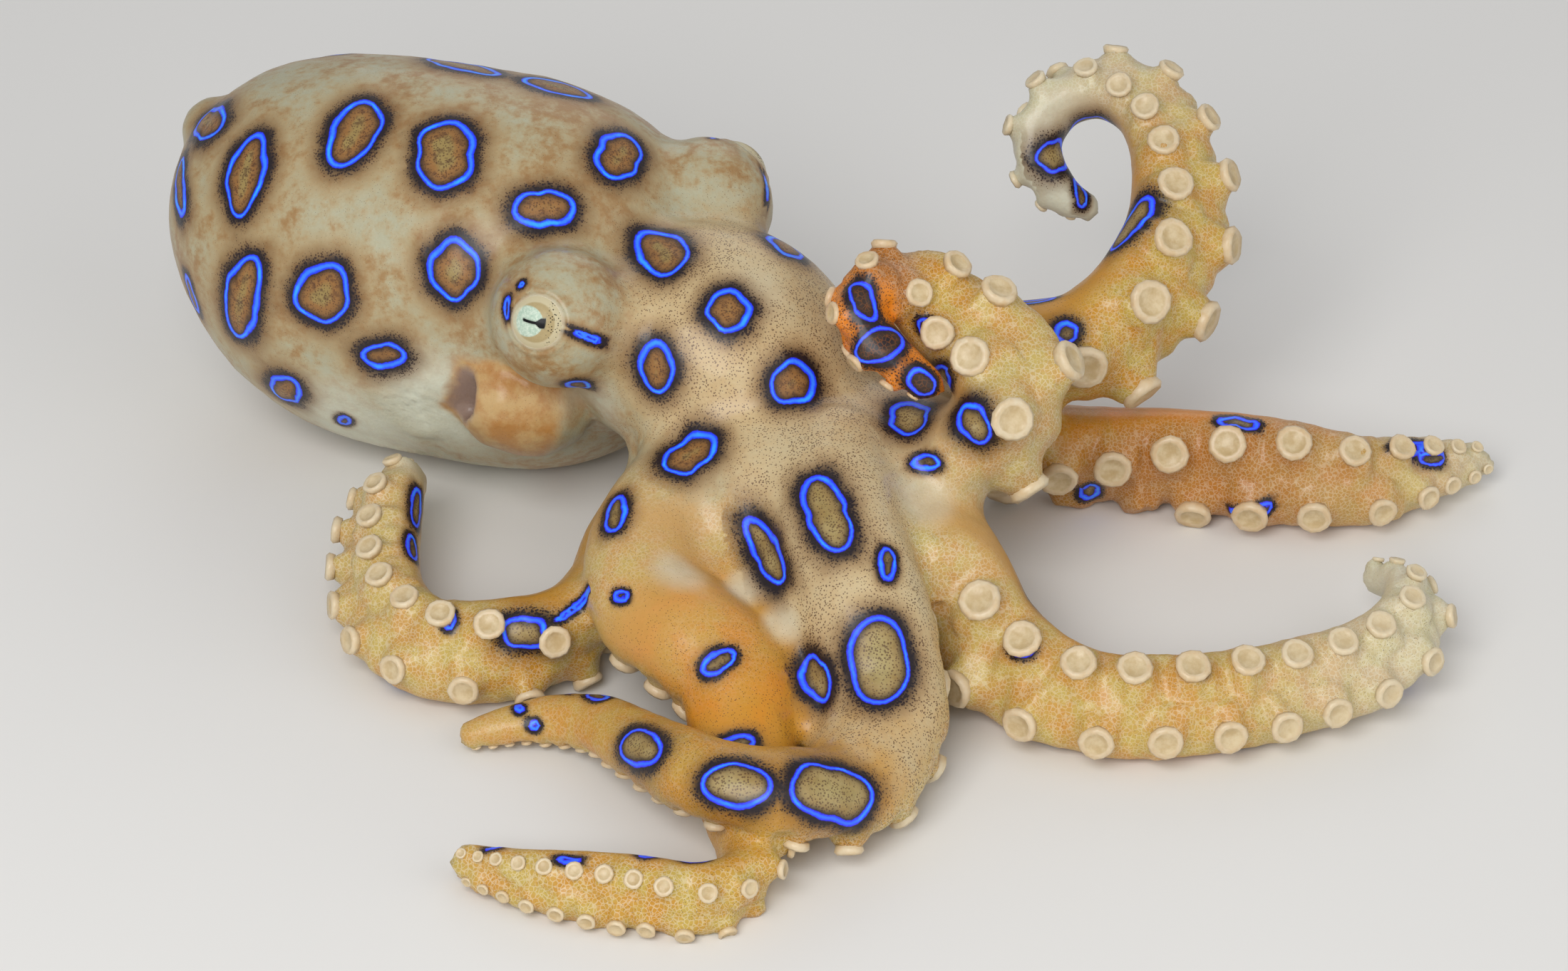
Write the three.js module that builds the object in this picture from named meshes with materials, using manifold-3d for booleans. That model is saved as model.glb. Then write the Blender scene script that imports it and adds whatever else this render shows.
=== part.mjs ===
// A greater blue-ringed octopus, life size, still, as a museum model stands it:
// the mantle rests on its belly, the head leans over the crown of arms, two arms
// are raised in curls and the others lie on the floor.
// Millimetres, +Z up. The origin is the middle of the bottom of the whole box.

import * as THREE from 'three';
import { mergeVertices } from 'three/addons/utils/BufferGeometryUtils.js';
import Module from 'manifold-3d';

const wasm = await Module();
wasm.setup();

// ---- driving sizes -------------------------------------------------------

const UP = new THREE.Vector3(0, 0, 1);
const GAP = 0.3;                    // the thin cut between two neighbours
const HEADING = -33 * Math.PI / 180; // the way the head points, round from +X
const NECK = new THREE.Vector3(-11.6, 8.1, 0);  // on the floor, midway between the eyes
const SHIFT = new THREE.Vector3(-3.58, 2.92, 0);  // puts the origin under the box's middle
const WELD = 1e-4;                  // points nearer than this are one

const MANTLE = {
  centre: -16.8, rise: 14.3,        // along the body from the neck, above the floor
  turn: 14 * Math.PI / 180,         // the bag lies turned from the head's own axis
  halfLength: 21.2, halfWidth: 14.4, halfHeight: 15.0,
  fullness: 3.0,                    // 2 is an ellipse, more is a fuller bag
  tipLift: 3.0, rearSwell: -0.04,
  rearSlope: 0.15,                  // how much lower the back slopes at the rear
  knob: [-36.0, -2.6, 20.6], knobRadius: 2.8,
};
const HEAD = {
  centre: 7.5, rise: 15.3,
  halfLength: 12.5, halfWidth: 9.6, halfHeight: 8.6,
  frontDrop: 2.4,
};
const EYE = {
  forward: 0.8, side: 9.3, rise: 20.2,
  bulge: 5.1, ball: 2.7, stand: 2.9,
  outward: [0.25, 1, 0.55],
};
const FUNNEL = {
  root: [-1.6, -7.0, 11.0], mouth: [-6.0, -12.2, 12.9],
  rootRadius: 4.2, mouthRadius: 2.6, wall: 0.9, bore: 3.2,
  taperFrom: 0.4, taperTo: 0.75, taperSwell: 1.4,  // where it narrows, along its length
};
const CROWN = { at: [0.8, -3.9, 11.0], radius: 10.6, halfHeight: 5.6 };

// round and along each ball, and round the funnel
const FACETS = {
  mantle: [26, 18], knob: [12, 8], head: [22, 14], mound: [16, 10], eye: [14, 10], crown: [24, 10],
  funnel: 14,
};

// ---- arms ------------------------------------------------------------------
// route: places on the arm's middle line; half: half widths at even steps from
// root to tip; oral: where the sucker side faces, at even steps; cuts: where the
// arm is parted, as fractions of its length.

const ARMS = {
  r1: {
    route: [[3.1, -3.4, 13.0], [3.4, -12.0, 12.4], [4.6, -18.1, 10.2], [6.1, -22.9, 6.9], [6.6, -27.4, 4.2],
      [4.3, -33.4, 3.8], [0.3, -36.6, 6.2], [-4.4, -35.8, 6.5], [-9.0, -30.6, 5.0], [-12.7, -25.4, 3.2],
      [-16.3, -23.6, 2.2], [-19.9, -24.0, 1.8], [-22.8, -24.4, 1.2]],
    half: [4.6, 4.6, 4.9, 4.4, 3.3, 2.7, 2.1, 0.8],
    oral: [[0, 0.3, -1], [0.3, 0.5, -0.8], [0.2, 0.2, -1], [0, 0.3, -1]],
    cuts: [0.22, 0.5, 0.76],
  },
  r2: {
    route: [[-5.2, -4.6, 11.0], [-9.2, -11.6, 9.2], [-9.4, -17.2, 7.8], [-6.6, -20.9, 7.4],
      [-3.6, -24.0, 6.2], [-2.8, -28.0, 4.4], [-2.9, -32.4, 2.9], [-2.1, -37.0, 2.3], [-2.6, -41.0, 2.1],
      [-5.8, -42.9, 2.2], [-10.4, -42.0, 2.1], [-16.1, -40.8, 2.0], [-22.3, -38.1, 1.6]],
    half: [4.3, 4.4, 4.5, 4.2, 3.3, 2.6, 2.6, 2.3, 1.2],
    oral: [[0, 0.3, -1], [-0.2, 0.4, -0.9], [-0.2, 0.5, -0.8], [-0.3, 0.4, -0.9], [0.3, 0.1, -0.9],
      [0.6, -0.5, -0.4], [0.3, -0.9, 0.2], [0, -0.9, 0.4], [0, -0.9, 0.4]],
    cuts: [0.26, 0.5, 0.75],
  },
  r3: {
    route: [[-6.2, -2.4, 9.0], [-10.2, -7.6, 6.4], [-12.2, -12.4, 5.0], [-15.4, -16.4, 4.2],
      [-20.5, -17.9, 3.7], [-25.4, -17.0, 3.6], [-28.6, -12.4, 3.8], [-29.3, -6.9, 4.8],
      [-28.8, -2.2, 5.8], [-28.0, 1.0, 4.8], [-27.4, 2.2, 2.6]],
    half: [4.2, 4.0, 3.9, 3.8, 3.5, 3.4, 3.1, 1.0],
    oral: [[0, 0.3, -1], [0.3, 0, -0.9], [0.5, -0.7, -0.4], [0, -0.8, 0.6], [-0.7, -0.3, 0.6],
      [-0.8, 0.1, 0.6], [-0.5, 0.5, 0.5]],
    cuts: [0.3, 0.55, 0.78],
  },
  r4: {
    route: [[-3.0, 0.5, 8.0], [-4.2, 6.5, 3.8], [-2.4, 13.5, 2.2], [-0.5, 21.0, 1.9], [-6.0, 28.5, 1.7],
      [-15.0, 33.5, 1.5], [-25.0, 36.4, 1.3], [-34.0, 36.0, 1.0], [-41.0, 32.5, 0.7]],
    half: [4.0, 3.8, 3.4, 2.9, 2.4, 1.8, 0.8],
    oral: [[0.2, -0.4, -1], [0, 0, -1], [0, 0, -1]],
    cuts: [0.24, 0.5, 0.76],
  },
  l1: {
    route: [[6.2, -2.6, 11.0], [10.6, -11.4, 8.0], [14.3, -18.4, 4.8], [20.1, -22.9, 3.6], [27.2, -23.6, 3.4],
      [34.9, -21.8, 3.4], [40.6, -19.4, 3.8], [44.0, -16.2, 4.6], [44.4, -12.0, 5.0], [41.8, -9.0, 3.8]],
    half: [5.0, 5.0, 4.4, 3.7, 3.6, 3.3, 2.9, 1.0],
    oral: [[0, 0.3, -1], [-0.1, -0.7, 0], [0, -0.8, 0.6], [0.3, -0.7, 0.6], [0.8, 0, 0.5]],
    cuts: [0.26, 0.5, 0.76],
  },
  l2: {
    route: [[6.2, -1.1, 12.5], [9.8, -4.6, 12.2], [12.9, -6.9, 13.3], [15.5, -7.3, 15.3],
      [16.3, -5.8, 17.8], [14.9, -3.4, 19.6], [12.1, -1.5, 21.1], [9.1, -0.7, 23.1], [6.3, -1.5, 24.0],
      [5.1, -3.7, 22.7], [7.0, -5.9, 21.0], [11.2, -8.0, 18.9]],
    half: [4.4, 4.3, 4.5, 4.3, 3.5, 2.6, 2.2, 1.0],
    oral: [[0, 0.3, -1], [0.6, -0.6, -0.5], [0.7, -0.9, 0.1], [0.2, -0.7, 0.7], [-0.5, -0.2, 0.8],
      [-0.9, 0.1, -0.3], [-0.6, 0.3, -0.7]],
    cuts: [0.36, 0.68],
  },
  l3: {
    route: [[5.8, 4.0, 9.6], [13.4, 4.9, 6.4], [21.7, 5.8, 4.2], [29.8, 5.4, 4.1], [37.3, 3.8, 4.0],
      [43.0, 3.6, 3.4], [48.2, 6.0, 2.8], [53.2, 8.6, 2.0]],
    half: [4.4, 4.3, 4.2, 4.1, 3.9, 2.9, 1.1],
    oral: [[0, 0.3, -1], [0, -0.8, -0.5], [0, -0.9, 0.4], [0, -0.8, 0.6]],
    cuts: [0.26, 0.52, 0.78],
  },
  l4: {
    route: [[4.6, 4.0, 12.4], [11.2, 6.4, 12.9], [17.0, 5.2, 13.4], [22.0, 5.2, 14.0], [26.2, 7.8, 16.0],
      [28.9, 12.4, 19.0], [29.4, 17.4, 22.0], [27.8, 21.9, 24.6], [24.3, 24.2, 25.4], [20.4, 23.6, 24.2],
      [18.9, 21.4, 21.4], [20.9, 19.4, 18.8], [24.0, 18.8, 17.6]],
    half: [4.4, 4.4, 4.8, 4.8, 4.4, 3.8, 3.1, 2.7, 2.2, 0.9],
    oral: [[0, 0.3, -1], [0.4, -0.5, -0.8], [0.5, -0.8, -0.1], [0.6, -0.6, 0.5], [0.2, -0.3, 0.9],
      [-0.8, 0.5, 0.3], [-0.3, 0.6, -0.7]],
    cuts: [0.26, 0.52, 0.78],
  },
};

// the skin stretched between the two front arms of the right side
const WEB = {
  route: [[-3.0, -12.0, 9.0], [-2.4, -17.0, 7.6], [-0.8, -21.5, 6.4], [1.2, -25.5, 4.8], [1.8, -29.0, 3.8]],
  half: [3.0, 3.2, 2.8, 2.6, 1.6],
  oral: [[0, 0.3, -1], [0, 0.3, -1]],
};

const ORAL_FLATNESS = 0.62;          // the sucker side's height over the half width
const BACK_HEIGHT = 0.86;            // the outer side's height over the half width
const BEND_ROOM = 0.7;              // how much of the way to a bend's middle flesh may fill
const ROOT_RADIUS = 11.5;            // within this of the crown's middle, arms are one web
const STEP = 2.8;                     // along an arm
const SIDES = 10;                    // round an arm

// ---- colours ---------------------------------------------------------------

const SKINS = {
  mantle: [0xc4ab80, 0.5],
  head: [0xc2a672, 0.5],
  crown: [0xc9a868, 0.5],
  funnel: [0xb98a52, 0.45],
  eye: [0xd9dcc4, 0.2],
  arm: [0xcb9a45, 0.45],
};

// ---- helpers ---------------------------------------------------------------

function toSolid(geometry) {
  const bare = geometry.clone();
  bare.deleteAttribute('normal');
  bare.deleteAttribute('uv');
  const merged = mergeVertices(bare, WELD);
  return new wasm.Manifold(new wasm.Mesh({
    numProp: 3,
    vertProperties: new Float32Array(merged.attributes.position.array),
    triVerts: new Uint32Array(merged.index.array),
  }));
}

function toGeometry(solid) {
  const mesh = solid.getMesh();
  const geometry = new THREE.BufferGeometry();
  geometry.setAttribute('position', new THREE.BufferAttribute(mesh.vertProperties, 3));
  geometry.setIndex(new THREE.BufferAttribute(mesh.triVerts, 1));
  return geometry;
}

function reshape(geometry, place) {
  const position = geometry.attributes.position;
  const point = new THREE.Vector3();
  for (let i = 0; i < position.count; i += 1) {
    point.fromBufferAttribute(position, i);
    place(point);
    position.setXYZ(i, point.x, point.y, point.z);
  }
  return geometry;
}

// from the body's own frame (forward, left, up) to the model's
function bodyToModel(point) {
  return point.applyAxisAngle(UP, HEADING).add(NECK).add(SHIFT);
}

// a ball with its poles on the body's axis
function bodyBall(around, along) {
  return new THREE.SphereGeometry(1, around, along).rotateZ(-Math.PI / 2);
}

// ---- body ------------------------------------------------------------------

function mantleSolid(grow) {
  const m = MANTLE;
  const bag = toSolid(reshape(bodyBall(...FACETS.mantle), (p) => {
    const rear = Math.max(0, -p.x);
    const round = Math.sqrt(Math.max(1 - p.x ** 2, WELD ** 2));
    const full = Math.sqrt(Math.max(1 - Math.abs(p.x) ** m.fullness, 0)) / round;
    const swell = (1 - m.rearSwell * p.x) * full;
    const x = (m.halfLength + grow) * p.x;
    const y = (m.halfWidth + grow) * swell * p.y;
    const slope = p.z > 0 ? 1 - m.rearSlope * rear ** 2 : 1;
    const z = m.rise + m.tipLift * rear ** 2 + (m.halfHeight + grow) * swell * slope * p.z;
    p.set(x, y, z).applyAxisAngle(UP, m.turn);
    p.x += m.centre;
    bodyToModel(p);
  }));
  return bag.add(ballAt(bodyToModel(new THREE.Vector3(...m.knob)), m.knobRadius + grow, FACETS.knob));
}

function headSolid(grow) {
  const h = HEAD;
  const ball = toSolid(reshape(bodyBall(...FACETS.head), (p) => {
    const front = Math.max(0, p.x);
    const x = h.centre + (h.halfLength + grow) * p.x;
    const y = (h.halfWidth + grow) * p.y;
    const z = h.rise - h.frontDrop * front ** 2 + (h.halfHeight + grow) * p.z;
    bodyToModel(p.set(x, y, z));
  }));
  return [1, -1].reduce((solid, side) => solid.add(eyeMound(side, grow)), ball);
}

function eyePlace(side, out) {
  const outward = new THREE.Vector3(EYE.outward[0], EYE.outward[1] * side, EYE.outward[2]).normalize();
  return bodyToModel(new THREE.Vector3(EYE.forward, EYE.side * side, EYE.rise).addScaledVector(outward, out));
}

function ballAt(place, radius, facets) {
  const geometry = new THREE.SphereGeometry(radius, ...facets);
  return toSolid(geometry.translate(place.x, place.y, place.z));
}

function eyeMound(side, grow) {
  return ballAt(eyePlace(side, 0), EYE.bulge + grow, FACETS.mound);
}

function eyeBall(side, grow) {
  return ballAt(eyePlace(side, EYE.stand), EYE.ball + grow, FACETS.eye);
}

function funnelSolid(grow) {
  const f = FUNNEL;
  const root = new THREE.Vector3(...f.root);
  const mouth = new THREE.Vector3(...f.mouth);
  const length = root.distanceTo(mouth);
  const profile = [
    [0, 0], [f.rootRadius + grow, 0], [f.rootRadius + grow, length * f.taperFrom],
    [f.mouthRadius * f.taperSwell + grow, length * f.taperTo], [f.mouthRadius + grow, length],
    [f.mouthRadius - f.wall, length], [f.mouthRadius - f.wall, length - f.bore], [0, length - f.bore],
  ].map(([radius, along]) => new THREE.Vector2(radius, along));
  const tube = new THREE.LatheGeometry(profile, FACETS.funnel);
  const turn = new THREE.Quaternion().setFromUnitVectors(
    new THREE.Vector3(0, 1, 0), mouth.clone().sub(root).normalize());
  return toSolid(reshape(tube, (p) => bodyToModel(p.applyQuaternion(turn).add(root))));
}

// ---- arms ------------------------------------------------------------------

function vectors(rows) {
  return rows.map((row) => new THREE.Vector3(...row));
}

function armCurve(arm) {
  return new THREE.CatmullRomCurve3(vectors(arm.route), false, 'catmullrom', 0.5);
}

// the sharpest bend between a ring and the next: the way to its middle, and how far off that is
function bendAt(curve, s, pitch) {
  const before = curve.getTangentAt(Math.max(s - pitch, 0));
  const after = curve.getTangentAt(Math.min(s + pitch, 1));
  const here = curve.getTangentAt(s);
  const turn = Math.max(here.distanceTo(before), here.distanceTo(after), WELD);
  return { inward: after.sub(before).normalize(), reach: pitch * curve.getLength() / turn };
}

// one length of an arm, from one fraction of it to another; the flesh inside a
// bend is pressed flat before it reaches the bend's middle
function armLength(arm, from, to, grow) {
  const curve = armCurve(arm);
  const orals = new THREE.CatmullRomCurve3(vectors(arm.oral), false, 'catmullrom', 0.5);
  const halves = new THREE.CatmullRomCurve3(arm.half.map((w) => new THREE.Vector3(w, 0, 0)),
    false, 'catmullrom', 0.5);
  const steps = Math.max(2, Math.round(curve.getLength() * (to - from) / STEP));
  const geometry = new THREE.CylinderGeometry(1, 1, 1, SIDES, steps);
  return toSolid(reshape(geometry, (p) => {
    const s = from + (to - from) * (p.y + 0.5);
    const along = curve.getTangentAt(s);
    const oral = orals.getPoint(s);
    oral.addScaledVector(along, -oral.dot(along)).normalize();
    const across = new THREE.Vector3().crossVectors(along, oral);
    const half = halves.getPoint(s).x + grow;
    const height = half * (p.z > 0 ? ORAL_FLATNESS : BACK_HEIGHT);
    const offset = across.multiplyScalar(p.x * half).addScaledVector(oral, p.z * height);
    const { inward, reach } = bendAt(curve, s, (to - from) / steps);
    const past = offset.dot(inward) - BEND_ROOM * reach - grow;
    offset.addScaledVector(inward, -Math.max(past, 0));
    p.copy(curve.getPointAt(s)).add(offset).add(SHIFT);
  }));
}

// how far along an arm it leaves the web round the mouth
function rootEnd(arm) {
  const curve = armCurve(arm);
  const middle = new THREE.Vector3(...CROWN.at);
  const stride = 0.01;
  let s = 0;
  while (curve.getPointAt(s).distanceTo(middle) < ROOT_RADIUS) {
    s += stride;
  }
  return s;
}

function crownDome(grow) {
  const c = CROWN;
  return toSolid(reshape(new THREE.SphereGeometry(1, ...FACETS.crown).rotateX(Math.PI / 2), (p) => {
    p.set(c.at[0] + (c.radius + grow) * p.x, c.at[1] + (c.radius + grow) * p.y,
      c.at[2] + (c.halfHeight + grow) * p.z).add(SHIFT);
  }));
}

function crownSolid(grow) {
  return Object.values(ARMS).reduce(
    (solid, arm) => solid.add(armLength(arm, 0, rootEnd(arm), grow)), crownDome(grow));
}

// all that lies above the floor
function floorBlock() {
  const span = 300;
  const height = 100;
  return toSolid(new THREE.BoxGeometry(span, span, height).translate(0, 0, height / 2));
}

// ---- the whole -------------------------------------------------------------

const octopus = new THREE.Group();
const above = floorBlock();

function addNode(name, solid, skin) {
  const [color, roughness] = SKINS[skin];
  const material = new THREE.MeshStandardMaterial({ color, roughness, metalness: 0 });
  const mesh = new THREE.Mesh(toGeometry(solid.intersect(above)), material);
  mesh.name = name;
  octopus.add(mesh);
}

// what is made later makes room for what it would press into
function clear(solid, ...others) {
  return others.reduce((rest, other) => rest.subtract(other), solid);
}

const eyes = { right: -1, left: 1 };
const eyeRoom = Object.values(eyes).map((side) => eyeBall(side, GAP));
const bodyRoom = [mantleSolid(GAP), headSolid(GAP)];
const crownRoom = crownSolid(GAP);
const funnelRoom = funnelSolid(GAP);
addNode('mantle', clear(mantleSolid(0), ...eyeRoom), 'mantle');
addNode('head', clear(headSolid(0), mantleSolid(GAP), ...eyeRoom), 'head');
for (const [name, side] of Object.entries(eyes)) {
  addNode(`eye_${name}`, eyeBall(side, 0), 'eye');
}
addNode('crown', clear(crownSolid(0), ...bodyRoom), 'crown');
addNode('funnel', clear(funnelSolid(0), ...bodyRoom, crownRoom), 'funnel');

const LENGTHS = ['root', 'middle', 'outer', 'tip'];
const armRoom = [];
for (const [name, arm] of Object.entries(ARMS)) {
  const trim = GAP / 2 / armCurve(arm).getLength();
  const stops = [rootEnd(arm), ...arm.cuts, 1];
  const room = [];
  for (let i = 0; i + 1 < stops.length; i += 1) {
    const last = i + 2 === stops.length;
    const from = stops[i] + trim;
    const to = last ? 1 : stops[i + 1] - trim;
    const length = clear(armLength(arm, from, to, 0), ...bodyRoom, crownRoom, funnelRoom,
      ...armRoom, ...room.slice(0, -1));
    addNode(`arm_${name}_${last ? 'tip' : LENGTHS[i]}`, length, 'arm');
    room.push(armLength(arm, from, to, GAP));
  }
  armRoom.push(...room);
}
addNode('web', clear(armLength(WEB, 0, 1, 0), ...bodyRoom, crownRoom, funnelRoom, ...armRoom), 'arm');

export default octopus;
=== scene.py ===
# A greater blue-ringed octopus, life size, still: one skin with its ring marks,
# the suckers and the eyes, on a plain stage. Lengths in the tables are millimetres.
import math

import bpy
import numpy as np
from bpy.props import FloatProperty, FloatVectorProperty, PointerProperty
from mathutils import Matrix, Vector, noise
from mathutils.bvhtree import BVHTree


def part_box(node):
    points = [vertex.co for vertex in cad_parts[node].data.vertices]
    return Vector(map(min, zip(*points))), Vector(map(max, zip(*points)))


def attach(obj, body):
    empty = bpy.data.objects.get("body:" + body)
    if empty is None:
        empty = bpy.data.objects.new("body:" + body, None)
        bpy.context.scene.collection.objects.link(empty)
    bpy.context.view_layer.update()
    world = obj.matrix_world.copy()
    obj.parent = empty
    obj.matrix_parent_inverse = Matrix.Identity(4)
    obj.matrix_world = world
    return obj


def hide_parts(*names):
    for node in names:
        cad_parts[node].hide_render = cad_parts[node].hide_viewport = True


bl_info = {
    "name": "Blue-ringed octopus",
    "version": (1, 0, 0),
    "blender": (4, 5, 0),
    "location": "View3D > Sidebar > Octopus",
    "description": "Builds the skin, suckers and eyes of a life-size octopus in its frame",
    "category": "Object",
}

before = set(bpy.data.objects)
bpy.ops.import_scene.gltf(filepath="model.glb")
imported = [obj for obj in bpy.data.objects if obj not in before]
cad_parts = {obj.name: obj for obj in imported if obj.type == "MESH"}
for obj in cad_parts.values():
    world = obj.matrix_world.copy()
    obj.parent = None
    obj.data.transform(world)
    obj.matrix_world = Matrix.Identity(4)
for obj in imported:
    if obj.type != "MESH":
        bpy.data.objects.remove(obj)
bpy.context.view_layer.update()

MM = 0.001
UP = np.array([0.0, 0.0, 1.0])
HEADING = math.radians(-33)  # the way the head points, round from +X
SHIFT = np.array([-3.58, 2.92, 0.0])  # from the arms' layout to the model's frame
NECK = np.array([-11.6, 8.1, 0.0]) + SHIFT

# ---- body: forward, left and up from the neck on the floor -----------------

MANTLE = {
    "centre": -16.8, "rise": 14.3, "turn": math.radians(14),
    "half_length": 21.2, "half_width": 14.4, "half_height": 15.0,
    "fullness": 3.0, "tip_lift": 3.0, "rear_swell": -0.04, "rear_slope": 0.15,
    "knob": (-36.0, -2.6, 20.6), "knob_radius": 2.8,
}
HEAD = {
    "centre": 7.5, "rise": 15.3,
    "half_length": 12.5, "half_width": 9.6, "half_height": 8.6, "front_drop": 2.4,
}
EYE = {"forward": 0.8, "side": 9.3, "rise": 20.2, "bulge": 5.1, "outward": (0.25, 1.0, 0.55)}
FUNNEL = {
    "root": (-1.6, -7.0, 11.0), "mouth": (-6.0, -12.2, 12.9),
    "root_radius": 4.2, "mouth_radius": 2.6, "wall": 0.9, "bore": 3.2,
}
CROWN = {"at": (0.8, -3.9, 11.0), "radius": 10.6, "half_height": 5.6}

# ---- arms: route of the middle line, half widths and the way the suckers face,
# both at even steps from root to tip ---------------------------------------

ARMS = {
    "r1": {
        "route": [(3.1, -3.4, 13.0), (3.4, -12.0, 12.4), (4.6, -18.1, 10.2), (6.1, -22.9, 6.9),
                  (6.6, -27.4, 4.2), (4.3, -33.4, 3.8), (0.3, -36.6, 6.2), (-4.4, -35.8, 6.5),
                  (-9.0, -30.6, 5.0), (-12.7, -25.4, 3.2), (-16.3, -23.6, 2.2), (-19.9, -24.0, 1.8),
                  (-22.8, -24.4, 1.2)],
        "half": [4.6, 4.6, 4.9, 4.4, 3.3, 2.7, 2.1, 0.8],
        "oral": [(0, 0.3, -1), (0.3, 0.5, -0.8), (0.2, 0.2, -1), (0, 0.3, -1)],
    },
    "r2": {
        "route": [(-5.2, -4.6, 11.0), (-9.2, -11.6, 9.2), (-9.4, -17.2, 7.8), (-6.6, -20.9, 7.4),
                  (-3.6, -24.0, 6.2), (-2.8, -28.0, 4.4), (-2.9, -32.4, 2.9), (-2.1, -37.0, 2.3),
                  (-2.6, -41.0, 2.1), (-5.8, -42.9, 2.2), (-10.4, -42.0, 2.1), (-16.1, -40.8, 2.0),
                  (-22.3, -38.1, 1.6)],
        "half": [4.3, 4.4, 4.5, 4.2, 3.3, 2.6, 2.6, 2.3, 1.2],
        "oral": [(0, 0.3, -1), (-0.2, 0.4, -0.9), (-0.2, 0.5, -0.8), (-0.3, 0.4, -0.9),
                 (0.3, 0.1, -0.9), (0.6, -0.5, -0.4), (0.3, -0.9, 0.2), (0, -0.9, 0.4),
                 (0, -0.9, 0.4)],
    },
    "r3": {
        "route": [(-6.2, -2.4, 9.0), (-10.2, -7.6, 6.4), (-12.2, -12.4, 5.0), (-15.4, -16.4, 4.2),
                  (-20.5, -17.9, 3.7), (-25.4, -17.0, 3.6), (-28.6, -12.4, 3.8), (-29.3, -6.9, 4.8),
                  (-28.8, -2.2, 5.8), (-28.0, 1.0, 4.8), (-27.4, 2.2, 2.6)],
        "half": [4.2, 4.0, 3.9, 3.8, 3.5, 3.4, 3.1, 1.0],
        "oral": [(0, 0.3, -1), (0.3, 0, -0.9), (0.5, -0.7, -0.4), (0, -0.8, 0.6),
                 (-0.7, -0.3, 0.6), (-0.8, 0.1, 0.6), (-0.5, 0.5, 0.5)],
    },
    "r4": {
        "route": [(-3.0, 0.5, 8.0), (-4.2, 6.5, 3.8), (-2.4, 13.5, 2.2), (-0.5, 21.0, 1.9),
                  (-6.0, 28.5, 1.7), (-15.0, 33.5, 1.5), (-25.0, 36.4, 1.3), (-34.0, 36.0, 1.0),
                  (-41.0, 32.5, 0.7)],
        "half": [4.0, 3.8, 3.4, 2.9, 2.4, 1.8, 0.8],
        "oral": [(0.2, -0.4, -1), (0, 0, -1), (0, 0, -1)],
    },
    "l1": {
        "route": [(6.2, -2.6, 11.0), (10.6, -11.4, 8.0), (14.3, -18.4, 4.8), (20.1, -22.9, 3.6),
                  (27.2, -23.6, 3.4), (34.9, -21.8, 3.4), (40.6, -19.4, 3.8), (44.0, -16.2, 4.6),
                  (44.4, -12.0, 5.0), (41.8, -9.0, 3.8)],
        "half": [5.0, 5.0, 4.4, 3.7, 3.6, 3.3, 2.9, 1.0],
        "oral": [(0, 0.3, -1), (-0.1, -0.7, 0), (0, -0.8, 0.6), (0.3, -0.7, 0.6), (0.8, 0, 0.5)],
    },
    "l2": {
        "route": [(6.2, -1.1, 12.5), (9.8, -4.6, 12.2), (12.9, -6.9, 13.3), (15.5, -7.3, 15.3),
                  (16.3, -5.8, 17.8), (14.9, -3.4, 19.6), (12.1, -1.5, 21.1), (9.1, -0.7, 23.1),
                  (6.3, -1.5, 24.0), (5.1, -3.7, 22.7), (7.0, -5.9, 21.0), (11.2, -8.0, 18.9)],
        "half": [4.4, 4.3, 4.5, 4.3, 3.5, 2.6, 2.2, 1.0],
        "oral": [(0, 0.3, -1), (0.6, -0.6, -0.5), (0.7, -0.9, 0.1), (0.2, -0.7, 0.7),
                 (-0.5, -0.2, 0.8), (-0.9, 0.1, -0.3), (-0.6, 0.3, -0.7)],
    },
    "l3": {
        "route": [(5.8, 4.0, 9.6), (13.4, 4.9, 6.4), (21.7, 5.8, 4.2), (29.8, 5.4, 4.1),
                  (37.3, 3.8, 4.0), (43.0, 3.6, 3.4), (48.2, 6.0, 2.8), (53.2, 8.6, 2.0)],
        "half": [4.4, 4.3, 4.2, 4.1, 3.9, 2.9, 1.1],
        "oral": [(0, 0.3, -1), (0, -0.8, -0.5), (0, -0.9, 0.4), (0, -0.8, 0.6)],
    },
    "l4": {
        "route": [(4.6, 4.0, 12.4), (11.2, 6.4, 12.9), (17.0, 5.2, 13.4), (22.0, 5.2, 14.0),
                  (26.2, 7.8, 16.0), (28.9, 12.4, 19.0), (29.4, 17.4, 22.0), (27.8, 21.9, 24.6),
                  (24.3, 24.2, 25.4), (20.4, 23.6, 24.2), (18.9, 21.4, 21.4), (20.9, 19.4, 18.8),
                  (24.0, 18.8, 17.6)],
        "half": [4.4, 4.4, 4.8, 4.8, 4.4, 3.8, 3.1, 2.7, 2.2, 0.9],
        "oral": [(0, 0.3, -1), (0.4, -0.5, -0.8), (0.5, -0.8, -0.1), (0.6, -0.6, 0.5),
                 (0.2, -0.3, 0.9), (-0.8, 0.5, 0.3), (-0.3, 0.6, -0.7)],
    },
}
WEB = {  # the skin stretched between the two front arms of the right side
    "route": [(-3.0, -12.0, 9.0), (-2.4, -17.0, 7.6), (-0.8, -21.5, 6.4), (1.2, -25.5, 4.8),
              (1.8, -29.0, 3.8)],
    "half": [3.0, 3.2, 2.8, 2.6, 1.6],
    "oral": [(0, 0.3, -1), (0, 0.3, -1)],
}
ORAL_FLATNESS = 0.62  # the sucker side's height over the half width
BACK_HEIGHT = 0.86  # the outer side's height over the half width
WEB_END = 0.3  # how far along an arm the soft web reaches
FILLET = 1.3  # how far the creases between head, web and arms are filled
COARSE_GRAIN, SKIN_GRAIN = 0.55, 0.38  # of the body alone and of the whole skin
MOST_TRIANGLES = 190000  # of the skin, which is thinned where it is plain
PLAIN_FROM = 0.9  # millimetres outside the middle of a mark's band
ARM_STEP, ARM_SIDES = 0.7, 30
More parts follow.
